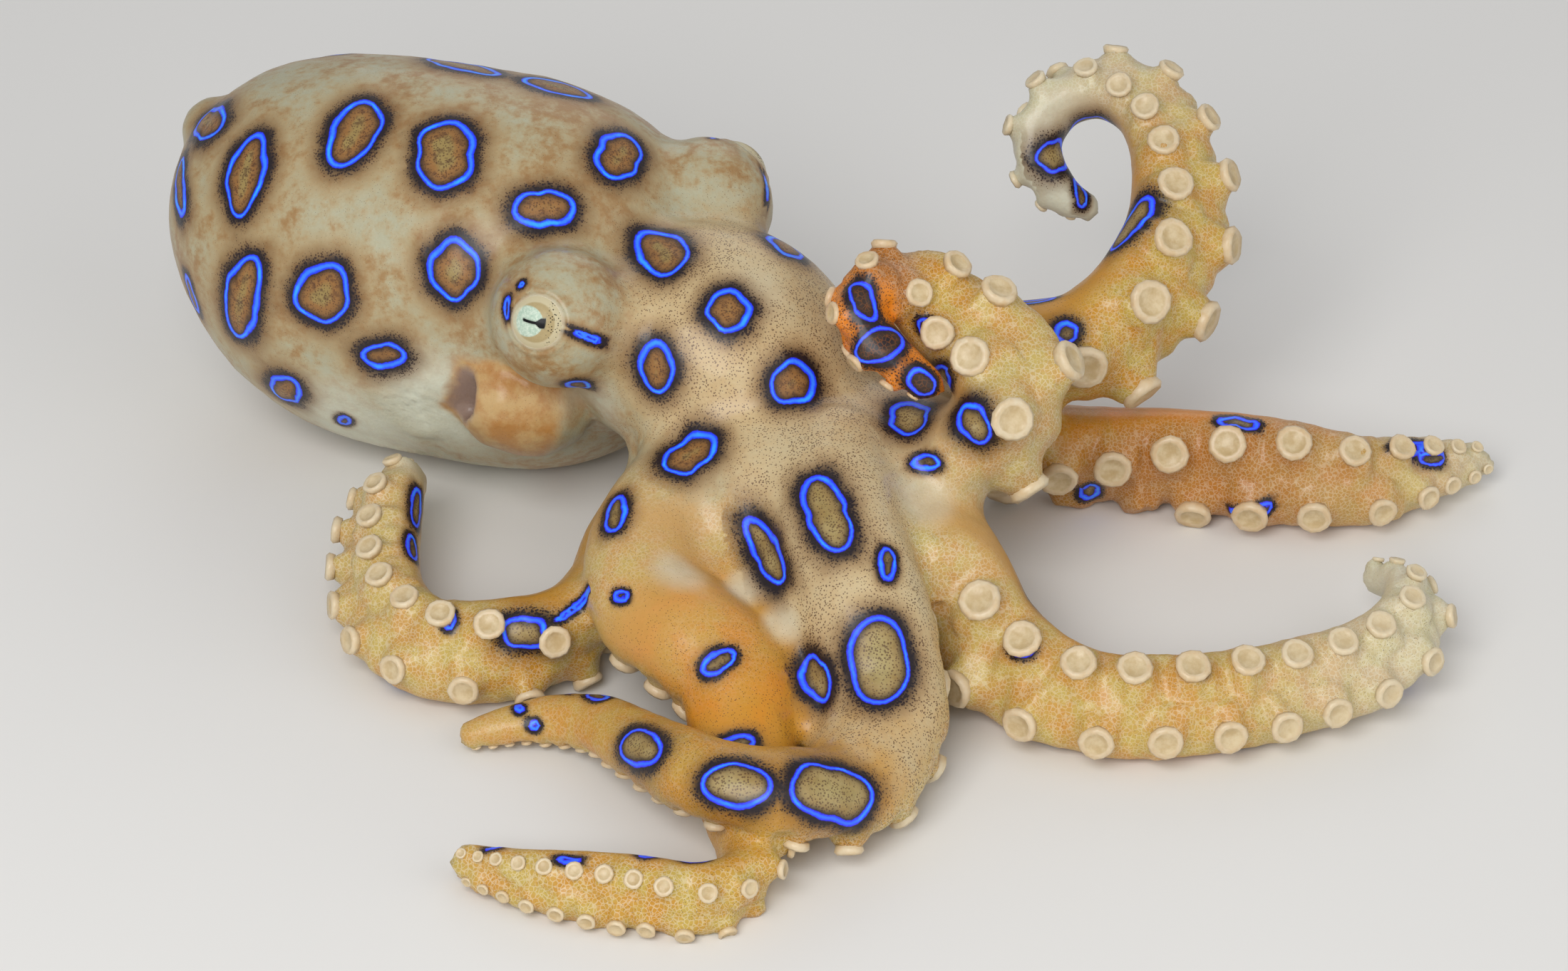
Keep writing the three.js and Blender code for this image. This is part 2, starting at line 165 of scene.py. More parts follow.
BALLS = {  # faces round and along each form's ball
    "mantle": (96, 64), "head": (72, 48), "knob": (32, 24), "mound": (40, 28), "crown": (60, 40),
    "web": (30, 24), "funnel": (32, 60), "eye": (48, 40),
}
ARM_CAP = 0.7  # how far from its ends an arm is rounded off, in half widths
ARM_PLACES = 160  # places along an arm from which the skin's points are measured
SWELL_SIZE, WRINKLE_SIZE, WRINKLE_SHARE = 5.0, 1.3, 0.4
SMOOTH_ROUND_EYE = (2.0, 5.0)  # between these distances the swells and wrinkles start
# wrinkles across the arms' sucker side: millimetres along and degrees round, height,
# where round the arm and where along it they start
FOLD_PITCH, FOLD_TURN, FOLD_HEIGHT = 1.1, 70, 0.42
FOLD_SIDE, FOLD_START = (80, 112), (0.2, 0.34)
SEED = 7

# rows of suckers: radius as a share of the arm's half width, turn about from the middle; a cup
# too near the floor or buried in the skin is left out
SUCKER = {
    "first": 0.16, "last": 0.985, "share": 0.33, "least": 0.36, "splay": 36, "lean": 0.75,
    "spacing": 1.65, "rise": 0.66, "seat": 0.05, "cup": 0.36, "sides": 12,
    "probe": 1.6, "off_floor": 0.25, "buried": -0.15,
    "shares": {"r1": 0.26, "r2": 0.25, "r3": 0.29},
}
# outlines turned round the sucker's axis: radius and height over its own radius
STALK_OUTLINE = [(2.0, -1.3), (1.65, -0.45), (1.22, 0.25), (1.03, 0.65), (0.98, 1.0)]
CUP_OUTLINE = [(0.94, -0.3), (1.07, 0.16), (0.88, 0.37), (0.62, 0.20), (0.30, 0.12)]
CUP_RIM = [1.0, 1.0, 0.8, 0.4, 0.0]  # how much each row of the cup is rim
# the lids and the raised rim round each eye: height over the mound at each distance
# from the eye's axis, both as seen along it
LID = [
    (0.0, -1.0), (1.54, -0.72), (1.68, -0.04), (1.78, 0.10), (1.88, 0.13), (2.00, 0.05),
    (2.14, 0.0), (2.34, 0.06), (2.52, 0.03), (2.80, 0.0),
]
LID_REACH, LID_BLEND, LID_FINE = 2.8, 0.5, 0.4  # its edge, blended inward and finer outward

# ---- ring marks ------------------------------------------------------------
# On the body: way round and up from the part's middle, in degrees, half sizes, turn
# from upright. On an arm: fraction of its length, way round from the back, half
# sizes, turn from the arm's own direction.

MANTLE_RINGS = [
    (-157, 30, 3.2, 1.6, -59), (-129, 35, 3.2, 1.9, 21), (-111, 63, 3.2, 2.0, 0),
    (-48, 62, 3.2, 2.3, 12), (103, 70, 3.3, 1.8, 70), (44, 57, 2.7, 2.0, -46),
    (11, 40, 2.7, 1.8, -76), (-20, 39, 2.5, 1.5, 85), (-49, 29, 2.3, 2.1, 4),
    (-91, 17, 2.6, 2.2, -40), (-115, 7, 3.9, 1.7, -10), (-71, 2, 2.0, 1.1, -68),
    (-108, -21, 2.3, 1.4, -34), (-146, 19, 2.7, 1.0, 64), (-135, -2, 1.8, 0.9, 0),
    (-91, -31, 0.9, 0.4, -36),
]
HEAD_RINGS = [
    (-143, 67, 3.0, 1.9, -84), (-44, 48, 1.8, 1.7, -16), (59, 48, 2.0, 1.6, 60),
    (-82, 20, 2.0, 1.5, 6), (-23, 13, 1.9, 1.7, -84), (-63, -5, 2.3, 1.7, -17),
    (-109, 6, 1.5, 0.7, 32), (-122, 25, 0.7, 0.26, 42), (-102, 27, 0.95, 0.16, 56),
    (-123, 31.5, 0.15, 0.14, 0),
]
ARM_RINGS = {
    "r1": [
        (0.176, -3, 3.7, 1.6, 6), (0.178, -76, 3.3, 1.2, 14), (0.331, 18, 3.2, 2.3, -3),
        (0.328, -48, 1.9, 1.3, 18), (0.549, 42, 3.6, 2.1, -8), (0.612, 31, 2.6, 1.7, -2),
        (0.721, 34, 2.4, 1.5, 3), (0.848, -38, 1.1, 0.6, -11), (0.895, -83, 1.1, 0.2, -35),
        (0.932, -21, 0.4, 0.25, -80), (0.917, 51, 0.3, 0.3, -4), (0.236, 46, 1.3, 0.6, -18),
        (0.057, -100, 1.9, 0.9, 1),
    ],
    "r2": [
        (0.38, -33, 1.4, 0.8, 100), (0.493, 0, 1.9, 0.8, 110), (0.151, -51, 1.9, 0.9, 10),
        (0.248, -40, 0.6, 0.35, 30), (0.72, 60, 0.8, 0.4, 0), (0.78, 79, 0.5, 0.25, -8),
        (0.86, 110, 0.7, 0.2, 3), (0.95, 100, 0.5, 0.2, 8),
    ],
    "r3": [
        (0.412, 130, 1.9, 1.3, -14), (0.835, 68, 1.9, 0.7, 0), (0.74, 76, 1.2, 0.6, 0),
        (0.512, 136, 0.7, 0.4, -85), (0.344, 95, 1.8, 0.2, 5), (0.267, 67, 1.5, 0.8, -77),
        (0.309, 100, 0.6, 0.35, -50),
    ],
    "l1": [(0.369, -144, 0.9, 0.6, 20), (0.565, -137, 0.7, 0.5, -5)],
    "l2": [
        (0.786, -78, 1.8, 1.0, 22), (0.869, -62, 2.1, 1.4, 73), (0.96, -60, 1.3, 1.0, 0),
        (0.495, -91, 1.4, 1.0, 62), (0.147, -31, 2.0, 1.6, -36), (0.308, -100, 1.8, 1.3, 76),
        (0.214, -94, 1.0, 0.5, -6), (0.579, -131, 1.2, 0.7, 12),
    ],
    "l3": [
        (0.363, 169, 1.2, 0.8, -81), (0.617, 139, 1.7, 0.5, 18), (0.58, -104, 1.6, 0.6, 0),
        (0.836, -129, 1.7, 0.8, 1), (0.878, -158, 1.2, 0.5, -7),
    ],
    "l4": [
        (0.468, -84, 2.5, 1.4, -15), (0.775, -14, 2.0, 1.1, 10), (0.9, 0, 1.9, 1.4, 85),
        (0.965, 30, 1.2, 0.45, -61), (0.239, -36, 1.4, 0.5, 6), (0.276, -99, 0.95, 0.95, 0),
    ],
}
FAR_SIDE = np.array([0.0, 0.82, -0.57])  # the table's marks leave this side of the arms bare
FAR_RINGS = {
    "from": 0.2, "to": 0.93, "step": 6.5, "around": 55, "size": (1.9, 1.2), "shrink": 0.5,
    "apart": 5.0, "facing": 0.1, "deep": 2,
}
# degrees: marks are mirrored to the left side from below this height, and lifted there;
# higher up, the table's marks reach over the top already
MIRROR_BELOW, MIRROR_LIFT = 50, 4
MANTLE_MIRROR, HEAD_MIRROR = (-140, -45), (-130, -60)  # the ways round that are mirrored
RING_REACH = 4.2  # beyond its band a mark has no more say
# the tables' sizes run to the outer edge of a mark's band, from small marks (none of it) up
RING_INSET, INSET_FROM = 0.28, (0.2, 1.3)
MARK_WAVES = (0.05, 0.04)  # how much a mark's outline waves, as shares of its size
# half widths of the blue bands, which grow with the mark and sway round it
BODY_BAND, ARM_BAND, ARM_BAND_TAPER = 0.21, 0.20, 0.06
LEAST_BAND, BAND_GROWTH, BAND_SWAY = 0.13, 0.09, 0.3
# how much sooner the dark fringe of the smallest marks ends, from where, and for which sizes
FRINGE_HURRY, HURRY_FROM, HURRY_BELOW = 3.0, 0.12, (0.9, 0.2)
# how violet the arms' bands are at the root and how much more at the tip
VIOLET_ROOT, VIOLET_GROWTH = 0.35, 0.4
# the kinds of middle: olive on the arms, brown on the body, near-black at the curled arm's end
OLIVE_MIDDLE, BROWN_MIDDLE, DARK_MIDDLE = 0.0, 0.4, 1.0
DARK_FROM = {"l2": 0.7}  # fraction of the arm
# a mark colours only skin that faces its way, lies about as high, and is on its own arm or body
SAME_SIDE, SAME_DEPTH, SAME_ARM, OFF_ARMS, CLOSE_BY = -0.1, 0.55, 0.45, 0.9, 4

# where the arms' colours start and are full: degrees round from the back, fractions along
OLIVE_SIDE, OLIVE_START, ARM_START = (72, 108), (0.08, 0.2), (0.02, 0.16)
GOLDEN_BACKS = ("l2", "l4")  # the other arms' outer ends are olive all round
OLIVE_BACK, OLIVE_BACK_START = 0.6, (0.5, 0.72)
ARM_REACH = (2.4, 1.2)  # half widths from an arm's middle
ARM_BLEND = 4  # how sharply one arm's colours give way to the next one's
# the head's fine dots: place from the neck, reach, and how dotted the skin is beyond and more in it
DOTTED = {"middle": (14, 0, 18), "reach": (16, 8), "least": 0.25, "more": 0.7}
LID_OUTSIDE, LID_INSIDE = (2.1, 1.95), (1.6, 1.72)  # the pale lid, from the eye's axis
# how warm (tan 0, ochre 0.5, orange 1), pale and dotted each arm is, at even steps
ARM_TONES = {
    "r1": ([0.0, 0.05, 0.18, 0.52, 0.62, 0.6], [0.1, 0.05, 0.0, 0.0, 0.0, 0.1],
           [1, 1, 1, 0.6, 0.4, 0.3]),
    "r2": ([0.35, 0.55, 0.7, 0.5, 0.45, 0.45], [0.3, 0.15, 0.0, 0.0, 0.0, 0.05],
           [0.5, 0.4, 0.6, 0.5, 0.4, 0.3]),
    "r3": ([0.2, 0.45, 0.55, 0.5, 0.4, 0.4], [0.1, 0.0, 0.0, 0.1, 0.15, 0.2],
           [0.6, 0.4, 0.4, 0.3, 0.3, 0.3]),
    "r4": ([0.2, 0.3, 0.45, 0.5, 0.5, 0.4], [0.1, 0.0, 0.0, 0.0, 0.1, 0.2],
           [0.8, 0.7, 0.6, 0.5, 0.4, 0.3]),
    "l1": ([0.3, 0.5, 0.62, 0.62, 0.4, 0.25], [0.25, 0.15, 0.05, 0.05, 0.5, 0.75],
           [0.3, 0.2, 0.3, 0.4, 0.7, 0.7]),
    "l2": ([0.1, 0.3, 0.45, 0.6, 1.0, 1.0], [0.2, 0.2, 0.1, 0.0, 0.0, 0.0],
           [0.7, 0.5, 0.3, 0.4, 1.0, 1.0]),
    "l3": ([0.4, 0.66, 0.74, 0.74, 0.68, 0.4], [0.1, 0.0, 0.0, 0.0, 0.1, 0.6],
           [0.3, 0.3, 0.3, 0.3, 0.3, 0.4]),
    "l4": ([0.2, 0.5, 0.6, 0.55, 0.3, 0.1], [0.1, 0.0, 0.0, 0.05, 0.6, 0.95],
           [0.6, 0.5, 0.4, 0.3, 0.3, 0.2]),
}
# pale patches of the body: place from the neck (forward, left, up), reach, strength
PALE_PATCHES = [
    ((18.4, -19.9, 13.2), 4.0, 0.7), ((-8.0, -12.5, 10.5), 7.5, 0.95),
    ((-16.0, -13.0, 6.0), 8.0, 0.8),
    ((-8.0, 12.5, 8.0), 8.0, 0.7), ((0.6, -11.5, 20.5), 3.2, 0.55),
    ((3.0, -10.5, 14.5), 4.2, 0.6), ((3.0, 10.5, 14.5), 4.2, 0.6), ((0.6, 11.5, 20.5), 3.2, 0.55),
    ((-32.0, -7.0, 20.0), 5.0, 0.45), ((13.0, -2.0, 24.0), 4.0, 0.35),
    ((29.1, -5.4, 12.7), 3.5, 0.5),
    ((22.1, -17.4, 10.0), 2.4, 0.6), ((25.8, -18.4, 8.5), 2.4, 0.6),
]
# olive parts of the front web: place in the arms' layout, reach, strength
OLIVE_PATCHES = [
    ((-11.0, -16.5, 8.5), 6.0, 0.9), ((-9.5, -10.5, 11.5), 4.0, 0.6),
    ((-3.5, -14.0, 10.5), 4.5, 0.7), ((-4.5, -24.5, 8.5), 5.5, 0.4),
]


# ---- stage: metres and watts; a lamp's power is its share of the key light's ---

FLOOR_SIZE = 6
TARGET = np.array([0, 0, 5.5]) + SHIFT  # what the camera looks at, in millimetres
LENS, SENSOR = 100, 36
LAMPS = {  # place, power, size
    "key": ((-0.10, -0.28, 0.28), 1.0, 0.24),
    "fill": ((0.32, -0.24, 0.20), 0.4, 0.4),
    "rim": ((0.05, 0.40, 0.25), 0.25, 0.3),
}
SKY, SKY_STRENGTH = (236, 238, 242), 0.42


# ---- helpers ----------------------------------------------------------------


def tint(red, green, blue):
    """A colour given as it is seen, 0 to 255, as light."""
    return tuple(round(((c / 255 + 0.055) / 1.055) ** 2.4, 4) for c in (red, green, blue))


def select_only(*objects):
    """Only these are selected, and the last of them is active."""
    bpy.ops.object.select_all(action="DESELECT")
    for o in objects:
        o.select_set(True)
        bpy.context.view_layer.objects.active = o


def coordinates(o):
    """The object's points as an array, in millimetres."""
    co = np.empty(len(o.data.vertices) * 3)
    o.data.vertices.foreach_get("co", co)
    return co.reshape(-1, 3) / MM


def place(o, points):
    """Moves the object's points to these places, in millimetres."""
    o.data.vertices.foreach_set("co", (points * MM).ravel())
    o.data.update()


def lift_to_floor(o):
    points = coordinates(o)
    points[:, 2] = np.maximum(points[:, 2], 0)
    place(o, points)


def normals(o):
    out = np.empty(len(o.data.vertices) * 3)
    o.data.vertex_normals.foreach_get("vector", out)
    return out.reshape(-1, 3)


def ball(name, around, along, shape):
    """A ball of unit size whose points are moved by shape; its poles start on Z."""
    bpy.ops.object.select_all(action="DESELECT")
    bpy.ops.mesh.primitive_uv_sphere_add(segments=around, ring_count=along, radius=MM)
    o = bpy.context.object
    o.name = o.data.name = name
    place(o, shape(coordinates(o)))
    return o


def fuse(o, voxel):
    """One closed surface round all that the object holds."""
    select_only(o)
    grid = o.modifiers.new("Fuse", "REMESH")
    grid.mode, grid.voxel_size, grid.use_smooth_shade = "VOXEL", voxel * MM, True
    bpy.ops.object.modifier_apply(modifier=grid.name)


def smooth(o, rounds, factor=0.5, group=""):
    select_only(o)
    soft = o.modifiers.new("Smooth", "SMOOTH")
    soft.factor, soft.iterations, soft.vertex_group = factor, rounds, group
    bpy.ops.object.modifier_apply(modifier=soft.name)


def swell(o, grow):
    """Moves the whole surface out by grow, in millimetres."""
    place(o, coordinates(o) + normals(o) * grow)


def join(objects, name):
    select_only(*objects)
    bpy.ops.object.join()
    o = bpy.context.object
    o.name = o.data.name = name
    return o


def unit(v):
    return v / np.linalg.norm(v, axis=-1, keepdims=True)


def body_to_model(points):
    """From the body's frame (forward, left, up) to the model's."""
    c, s = math.cos(HEADING), math.sin(HEADING)
    x, y, z = np.asarray(points, float).T
    return np.stack([c * x - s * y, s * x + c * y, z], -1) + NECK


def spline(points, t):
    """The smooth curve through points at t, from 0 to 1 over even steps of them."""
    p = np.asarray(points, float)
    p = p[:, None] if p.ndim == 1 else p
    p = np.vstack([2 * p[0] - p[1], p, 2 * p[-1] - p[-2]])
    at = np.clip(np.asarray(t, float), 0, 1) * (len(p) - 3)
    i = np.minimum(at.astype(int), len(p) - 4)
    u = (at - i)[:, None]
    a, b, c, d = p[i], p[i + 1], p[i + 2], p[i + 3]
    m, n = (c - a) / 2, (d - b) / 2
    return (2 * b - 2 * c + m + n) * u**3 + (3 * c - 3 * b - 2 * m - n) * u**2 + m * u + b


class ArmLine:
    """An arm's middle line with its own frame, read at fractions of its length."""

    SAMPLES = 800

    def __init__(self, arm):
        self.arm = arm
        self.t = np.linspace(0, 1, self.SAMPLES)
        run = np.linalg.norm(np.diff(spline(arm["route"], self.t), axis=0), axis=1)
        self.run = np.concatenate([[0], np.cumsum(run)])
        self.length = self.run[-1]

    def at(self, s):
        """Place, direction, sucker side, side and half width at each fraction s."""
        s = np.clip(np.atleast_1d(s), 0, 1)
        t = np.interp(s * self.length, self.run, self.t)
        step = 1e-3
        low, high = np.maximum(t - step, 0), np.minimum(t + step, 1)
        along = unit(spline(self.arm["route"], high) - spline(self.arm["route"], low))
        oral = spline(self.arm["oral"], s)
        oral = unit(oral - along * (oral * along).sum(1, keepdims=True))
        half = spline(self.arm["half"], s)[:, 0]
        return spline(self.arm["route"], t) + SHIFT, along, oral, np.cross(along, oral), half


LINES = {name: ArmLine(arm) for name, arm in ARMS.items()}


# ---- the body's shapes ------------------------------------------------------


def mantle_shape(p):
    m = MANTLE
    y, z, x = p.T
    rear = np.maximum(0, -x)
    full = np.sqrt(np.maximum(1 - np.abs(x) ** m["fullness"], 0) / np.maximum(1 - x**2, 1e-6))
    swollen = (1 - m["rear_swell"] * x) * full
    x = m["half_length"] * x
    y = m["half_width"] * swollen * y
    z = z * (1 - m["rear_slope"] * rear**2 * (z > 0))
    z = m["rise"] + m["tip_lift"] * rear**2 + m["half_height"] * swollen * z
    c, s = math.cos(m["turn"]), math.sin(m["turn"])
    return body_to_model(np.stack([m["centre"] + c * x - s * y, s * x + c * y, z], -1))


def head_shape(p):
    h = HEAD
    y, z, x = p.T
    front = np.maximum(0, x)
    return body_to_model(np.stack([
        h["centre"] + h["half_length"] * x,
        h["half_width"] * y,
        h["rise"] - h["front_drop"] * front**2 + h["half_height"] * z,
    ], -1))


def eye_place(side, out):
    """A place on the right (-1) or left (1) eye's axis, out from the mound's middle."""
    forward, left, up = EYE["outward"]
    axis = unit(np.array([forward, left * side, up]))
    middle = np.array([EYE["forward"], EYE["side"] * side, EYE["rise"]])
    return body_to_model([middle + axis * out])[0]


def eye_axis(side):
    return unit(eye_place(side, 1) - eye_place(side, 0))


def from_axis(points, side):
    """How far out along an eye's axis points are, and how far from it."""
    offset = points - eye_place(side, 0)
    height = offset @ eye_axis(side)
    return height, np.linalg.norm(offset - height[:, None] * eye_axis(side), axis=1)


def round_shape(middle, radius):
    return lambda p: middle + p * radius


def funnel_shape(p):
    """A tube with a rounded lip and a bore, wound from a ball's rings."""
    f = FUNNEL
    root, mouth = np.array(f["root"]), np.array(f["mouth"])
    length = np.linalg.norm(mouth - root)
    axis = unit(mouth - root)
    side = unit(np.cross(axis, UP))
    lip = f["wall"] / 2
    outline = [
        (0.0, -2.6), (0.7 * f["root_radius"], -1.9), (f["root_radius"], 0.1 * length),
        (f["root_radius"], 0.4 * length), (1.4 * f["mouth_radius"], 0.75 * length),
        (f["mouth_radius"], length - lip),
        (f["mouth_radius"] - lip, length), (f["mouth_radius"] - f["wall"], length - lip),
        (f["mouth_radius"] - f["wall"], length - f["bore"]), (0.0, length - f["bore"]),
    ]
    step = np.arccos(np.clip(p[:, 2], -1, 1)) / math.pi
    knots = np.linspace(0, 1, len(outline))
    radius, along = (np.interp(step, knots, [row[k] for row in outline]) for k in (0, 1))
    turn = np.arctan2(p[:, 1], p[:, 0])[:, None]
    ring = np.cos(turn) * side + np.sin(turn) * np.cross(side, axis)
    return body_to_model(root + axis * along[:, None] + ring * radius[:, None])


def crown_shape(p):
    c = CROWN
    return np.array(c["at"]) + SHIFT + p * [c["radius"], c["radius"], c["half_height"]]


def arm_shape(line, start=0.0, stop=1.0):
    """Winds a ball's rings along an arm's line, from the root pole to the tip pole."""

    def shape(p):
        step = np.arccos(np.clip(p[:, 2], -1, 1)) / math.pi
        middle, along, oral, across, half = line.at(start + (stop - start) * step)
        end = np.minimum(step, 1 - step) * (stop - start) * line.length / half
        half = half * np.sqrt(np.clip(1 - np.maximum(0, 1 - end / ARM_CAP) ** 2, 0, 1))
        turn = np.arctan2(p[:, 1], p[:, 0])
        flat = np.where(p[:, 1] > 0, ORAL_FLATNESS, BACK_HEIGHT)
        wide = (np.cos(turn) * half)[:, None] * across
        high = (np.sin(turn) * half * flat)[:, None] * oral
        return middle + wide + high

    return shape


def sucker_places():
    """For each sucker: its place on the arm's surface, outward direction, the arm's direction,
    radius, arm and fraction. They run in two rows, turn about."""
    found = []
    for name, line in LINES.items():
        s, row = SUCKER["first"], 1
        while s < SUCKER["last"]:
            middle, along, oral, across, half = (v[0] for v in line.at(s))
            radius = max(SUCKER["least"], SUCKER["shares"].get(name, SUCKER["share"]) * half)
            splay = row * math.radians(SUCKER["splay"])
            aside, down = math.sin(splay) * across, math.cos(splay) * oral
            base = middle + half * (aside + ORAL_FLATNESS * down)
            found.append((base, unit(SUCKER["lean"] * aside + down), along, radius, name, s))
            s += SUCKER["spacing"] * radius / line.length
            row = -row
    return found


def turned(outline, sides):
    """A closed form turned from an outline of (radius, height), from its foot to its middle."""
    points, faces = [], []
    for radius, height in outline:
        for k in range(sides):
            turn = 2 * math.pi * k / sides
            points.append((radius * math.cos(turn), radius * math.sin(turn), height))
    for row in range(len(outline) - 1):
        for k in range(sides):
            a, b = row * sides + k, row * sides + (k + 1) % sides
            faces.append((a, b, b + sides, a + sides))
    faces.append(tuple(range(sides))[::-1])
    last = (len(outline) - 1) * sides
    faces.append(tuple(range(last, last + sides)))
    return np.array(points), faces


def stamp(name, shape, places, waviness=0.0):
    """One mesh of many copies: shape is (points, faces) of a small form standing on Z, places
    are (foot, outward, along, width, height)."""
    points, faces = shape
    turn = np.arctan2(points[:, 1], points[:, 0])
    draw = np.random.default_rng(SEED)
    count = len(points)
    verts, polys = [], []
    for k, (foot, out, along, width, height) in enumerate(places):
        side = unit(np.cross(out, along))
        front = np.cross(side, out)
        phase, lobes = draw.uniform(0, 2 * math.pi), draw.integers(3, 6)
        wave = 1 + waviness * np.sin(lobes * turn + phase)
        p = points * [width, width, height] * wave[:, None]
        verts.append(foot + p[:, :1] * side + p[:, 1:2] * front + p[:, 2:] * out)
        polys += [[count * k + i for i in face] for face in faces]
    mesh = bpy.data.meshes.new(name)
    mesh.from_pydata(np.concatenate(verts) * MM, [], polys)
    o = bpy.data.objects.new(name, mesh)
    bpy.context.scene.collection.objects.link(o)
    return o


def write(o, **values):
    """Stores numbers for every point, which the materials read by name."""
    for name, numbers in values.items():
        layer = o.data.attributes.new(name, "FLOAT", "POINT")
        layer.data.foreach_set("value", np.ascontiguousarray(numbers, dtype=np.float32))


def surface(o):
    """The object's faces as a tree for ray casts and nearest places, in millimetres."""
    return BVHTree.FromPolygons(
        [Vector(p) for p in coordinates(o)], [tuple(f.vertices) for f in o.data.polygons])


def fade(value, low, high):
    """0 at low, 1 at high, smooth between."""
    t = np.clip((value - low) / (high - low), 0, 1)
    return t * t * (3 - 2 * t)


def body_part():
    """Mantle, head, eye mounds, crown and arm roots, run together with soft creases."""
    knob = round_shape(body_to_model([MANTLE["knob"]])[0], MANTLE["knob_radius"])
    shapes = [("mantle", mantle_shape), ("head", head_shape), ("knob", knob)]
    for side in (-1, 1):
        shapes.append(("mound", round_shape(eye_place(side, 0), EYE["bulge"])))
    shapes.append(("crown", crown_shape))
    parts = [ball(name, *BALLS[name], shape) for name, shape in shapes]
    for name, line in LINES.items():
        rings = round(WEB_END * line.length / ARM_STEP)
        parts.append(ball(name, ARM_SIDES, rings, arm_shape(line, 0, WEB_END)))
    parts.append(ball("web", *BALLS["web"], arm_shape(ArmLine(WEB))))
    body = join(parts, "body")
    fuse(body, COARSE_GRAIN)
    swell(body, FILLET)
    fuse(body, COARSE_GRAIN)
    smooth(body, 2)
    swell(body, -FILLET)
    return body


def lids(o):
    """Cuts the skin finer round each eye and raises the lids and rims there."""
    for side in (-1, 1):
        for cut in range(2):
            height, apart = from_axis(coordinates(o), side)
            near = (apart < LID_REACH + LID_FINE) & (height > 0)
            select_only(o)
            bpy.ops.object.mode_set(mode="EDIT")
            bpy.ops.mesh.select_all(action="DESELECT")
            bpy.ops.object.mode_set(mode="OBJECT")
            o.data.polygons.foreach_set(
                "select", [all(near[v] for v in f.vertices) for f in o.data.polygons])
            bpy.ops.object.mode_set(mode="EDIT")
            bpy.ops.mesh.subdivide(number_cuts=1)
            bpy.ops.object.mode_set(mode="OBJECT")
        points = coordinates(o)
        height, apart = from_axis(points, side)
        near = (apart < LID_REACH) & (height > 0)
        mound = np.sqrt(np.maximum(EYE["bulge"] ** 2 - apart**2, 0))
        rise = np.interp(apart, *zip(*LID))
        blend = fade(apart, LID_REACH, LID_REACH - LID_BLEND)
        lift = ((mound + rise) - height) * blend * near
        place(o, points + lift[:, None] * eye_axis(side))


def uneven(o, strength):
    """Slow swells and finer wrinkles over the skin, none in the lids, and folds across the arms'
    sucker side."""
    points, out = coordinates(o), normals(o)
    low = np.array([noise.noise(Vector(p / SWELL_SIZE)) for p in points])
    fine = np.array([noise.noise(Vector(p / WRINKLE_SIZE)) for p in points])
    calm = np.ones(len(points))
    for side in (-1, 1):
        apart = np.linalg.norm(points - eye_place(side, EYE["bulge"]), axis=1)
        calm *= fade(apart, *SMOOTH_ROUND_EYE)
    near = arm_nearness(points)
    nearest = np.min([apart for apart, s, around in near.values()], axis=0)
    folds = np.zeros(len(points))
    for name, (apart, s, around) in near.items():
        oral = fade(np.abs(around), *FOLD_SIDE) * fade(s, *FOLD_START) * (apart <= nearest)
        onward = s * LINES[name].length / FOLD_PITCH
        rows = np.stack([onward, around / FOLD_TURN, np.zeros(len(s))], -1)
        ids = np.flatnonzero(oral)
        folds[ids] = oral[ids] * [noise.noise(Vector(row)) for row in rows[ids]]
    lift = strength * (low + WRINKLE_SHARE * fine) * calm + FOLD_HEIGHT * folds
    place(o, points + out * lift[:, None])
    lift_to_floor(o)


def arm_nearness(points):
    """For each arm: how far points are off its middle in half widths, the fraction of its length
    and the way round from its back, in degrees."""
    near = {}
    for name, line in LINES.items():
        s = np.linspace(0, 1, ARM_PLACES)
        middle, along, oral, across, half = line.at(s)
        apart = np.full(len(points), np.inf)
        best = np.zeros(len(points), int)
        for k in range(len(s)):
            d = np.linalg.norm(points - middle[k], axis=1) / half[k]
            closer = d < apart
            apart[closer], best[closer] = d[closer], k
        offset = points - middle[best]
        onward = (offset * along[best]).sum(1) / line.length
        aside, back = (offset * across[best]).sum(1), -(offset * oral[best]).sum(1)
        around = np.degrees(np.arctan2(aside, back))
        near[name] = apart, np.clip(s[best] + onward, 0, 1), around
    return near


def cast(tree, start, way):
    """Where a line from inside leaves the skin, and the way out there."""
    hit, out, face, far = tree.ray_cast(Vector(start), Vector(way))
    if hit is None:
        raise RuntimeError("a ring mark misses the skin")
    return np.array(hit), unit(np.array(out))


def body_rings(tree, rows, part, mirror):
    """Places a table of the mantle's or head's marks, and their like on the left side."""
    start = body_to_model([(part["centre"], 0, part["rise"])])[0]
    bend = math.degrees(part.get("turn", 0))
    both = list(rows)
    for way, up, length, short, turn in rows:
        if mirror[0] <= way <= mirror[1] and up < MIRROR_BELOW:
            both.append((2 * bend - way, up + MIRROR_LIFT, length, short, -turn))
    for way, up, length, short, turn in both:
        w, e, t = math.radians(way) + HEADING, math.radians(up), math.radians(turn)
        ray = np.array([math.cos(w) * math.cos(e), math.sin(w) * math.cos(e), math.sin(e)])
        spot, out = cast(tree, start, ray)
        level = unit(np.cross(out, UP))
        upright = np.cross(level, out)
        lengthwise = math.cos(t) * upright + math.sin(t) * np.cross(out, upright)
        yield spot, out, lengthwise, length, short, None, 0.0


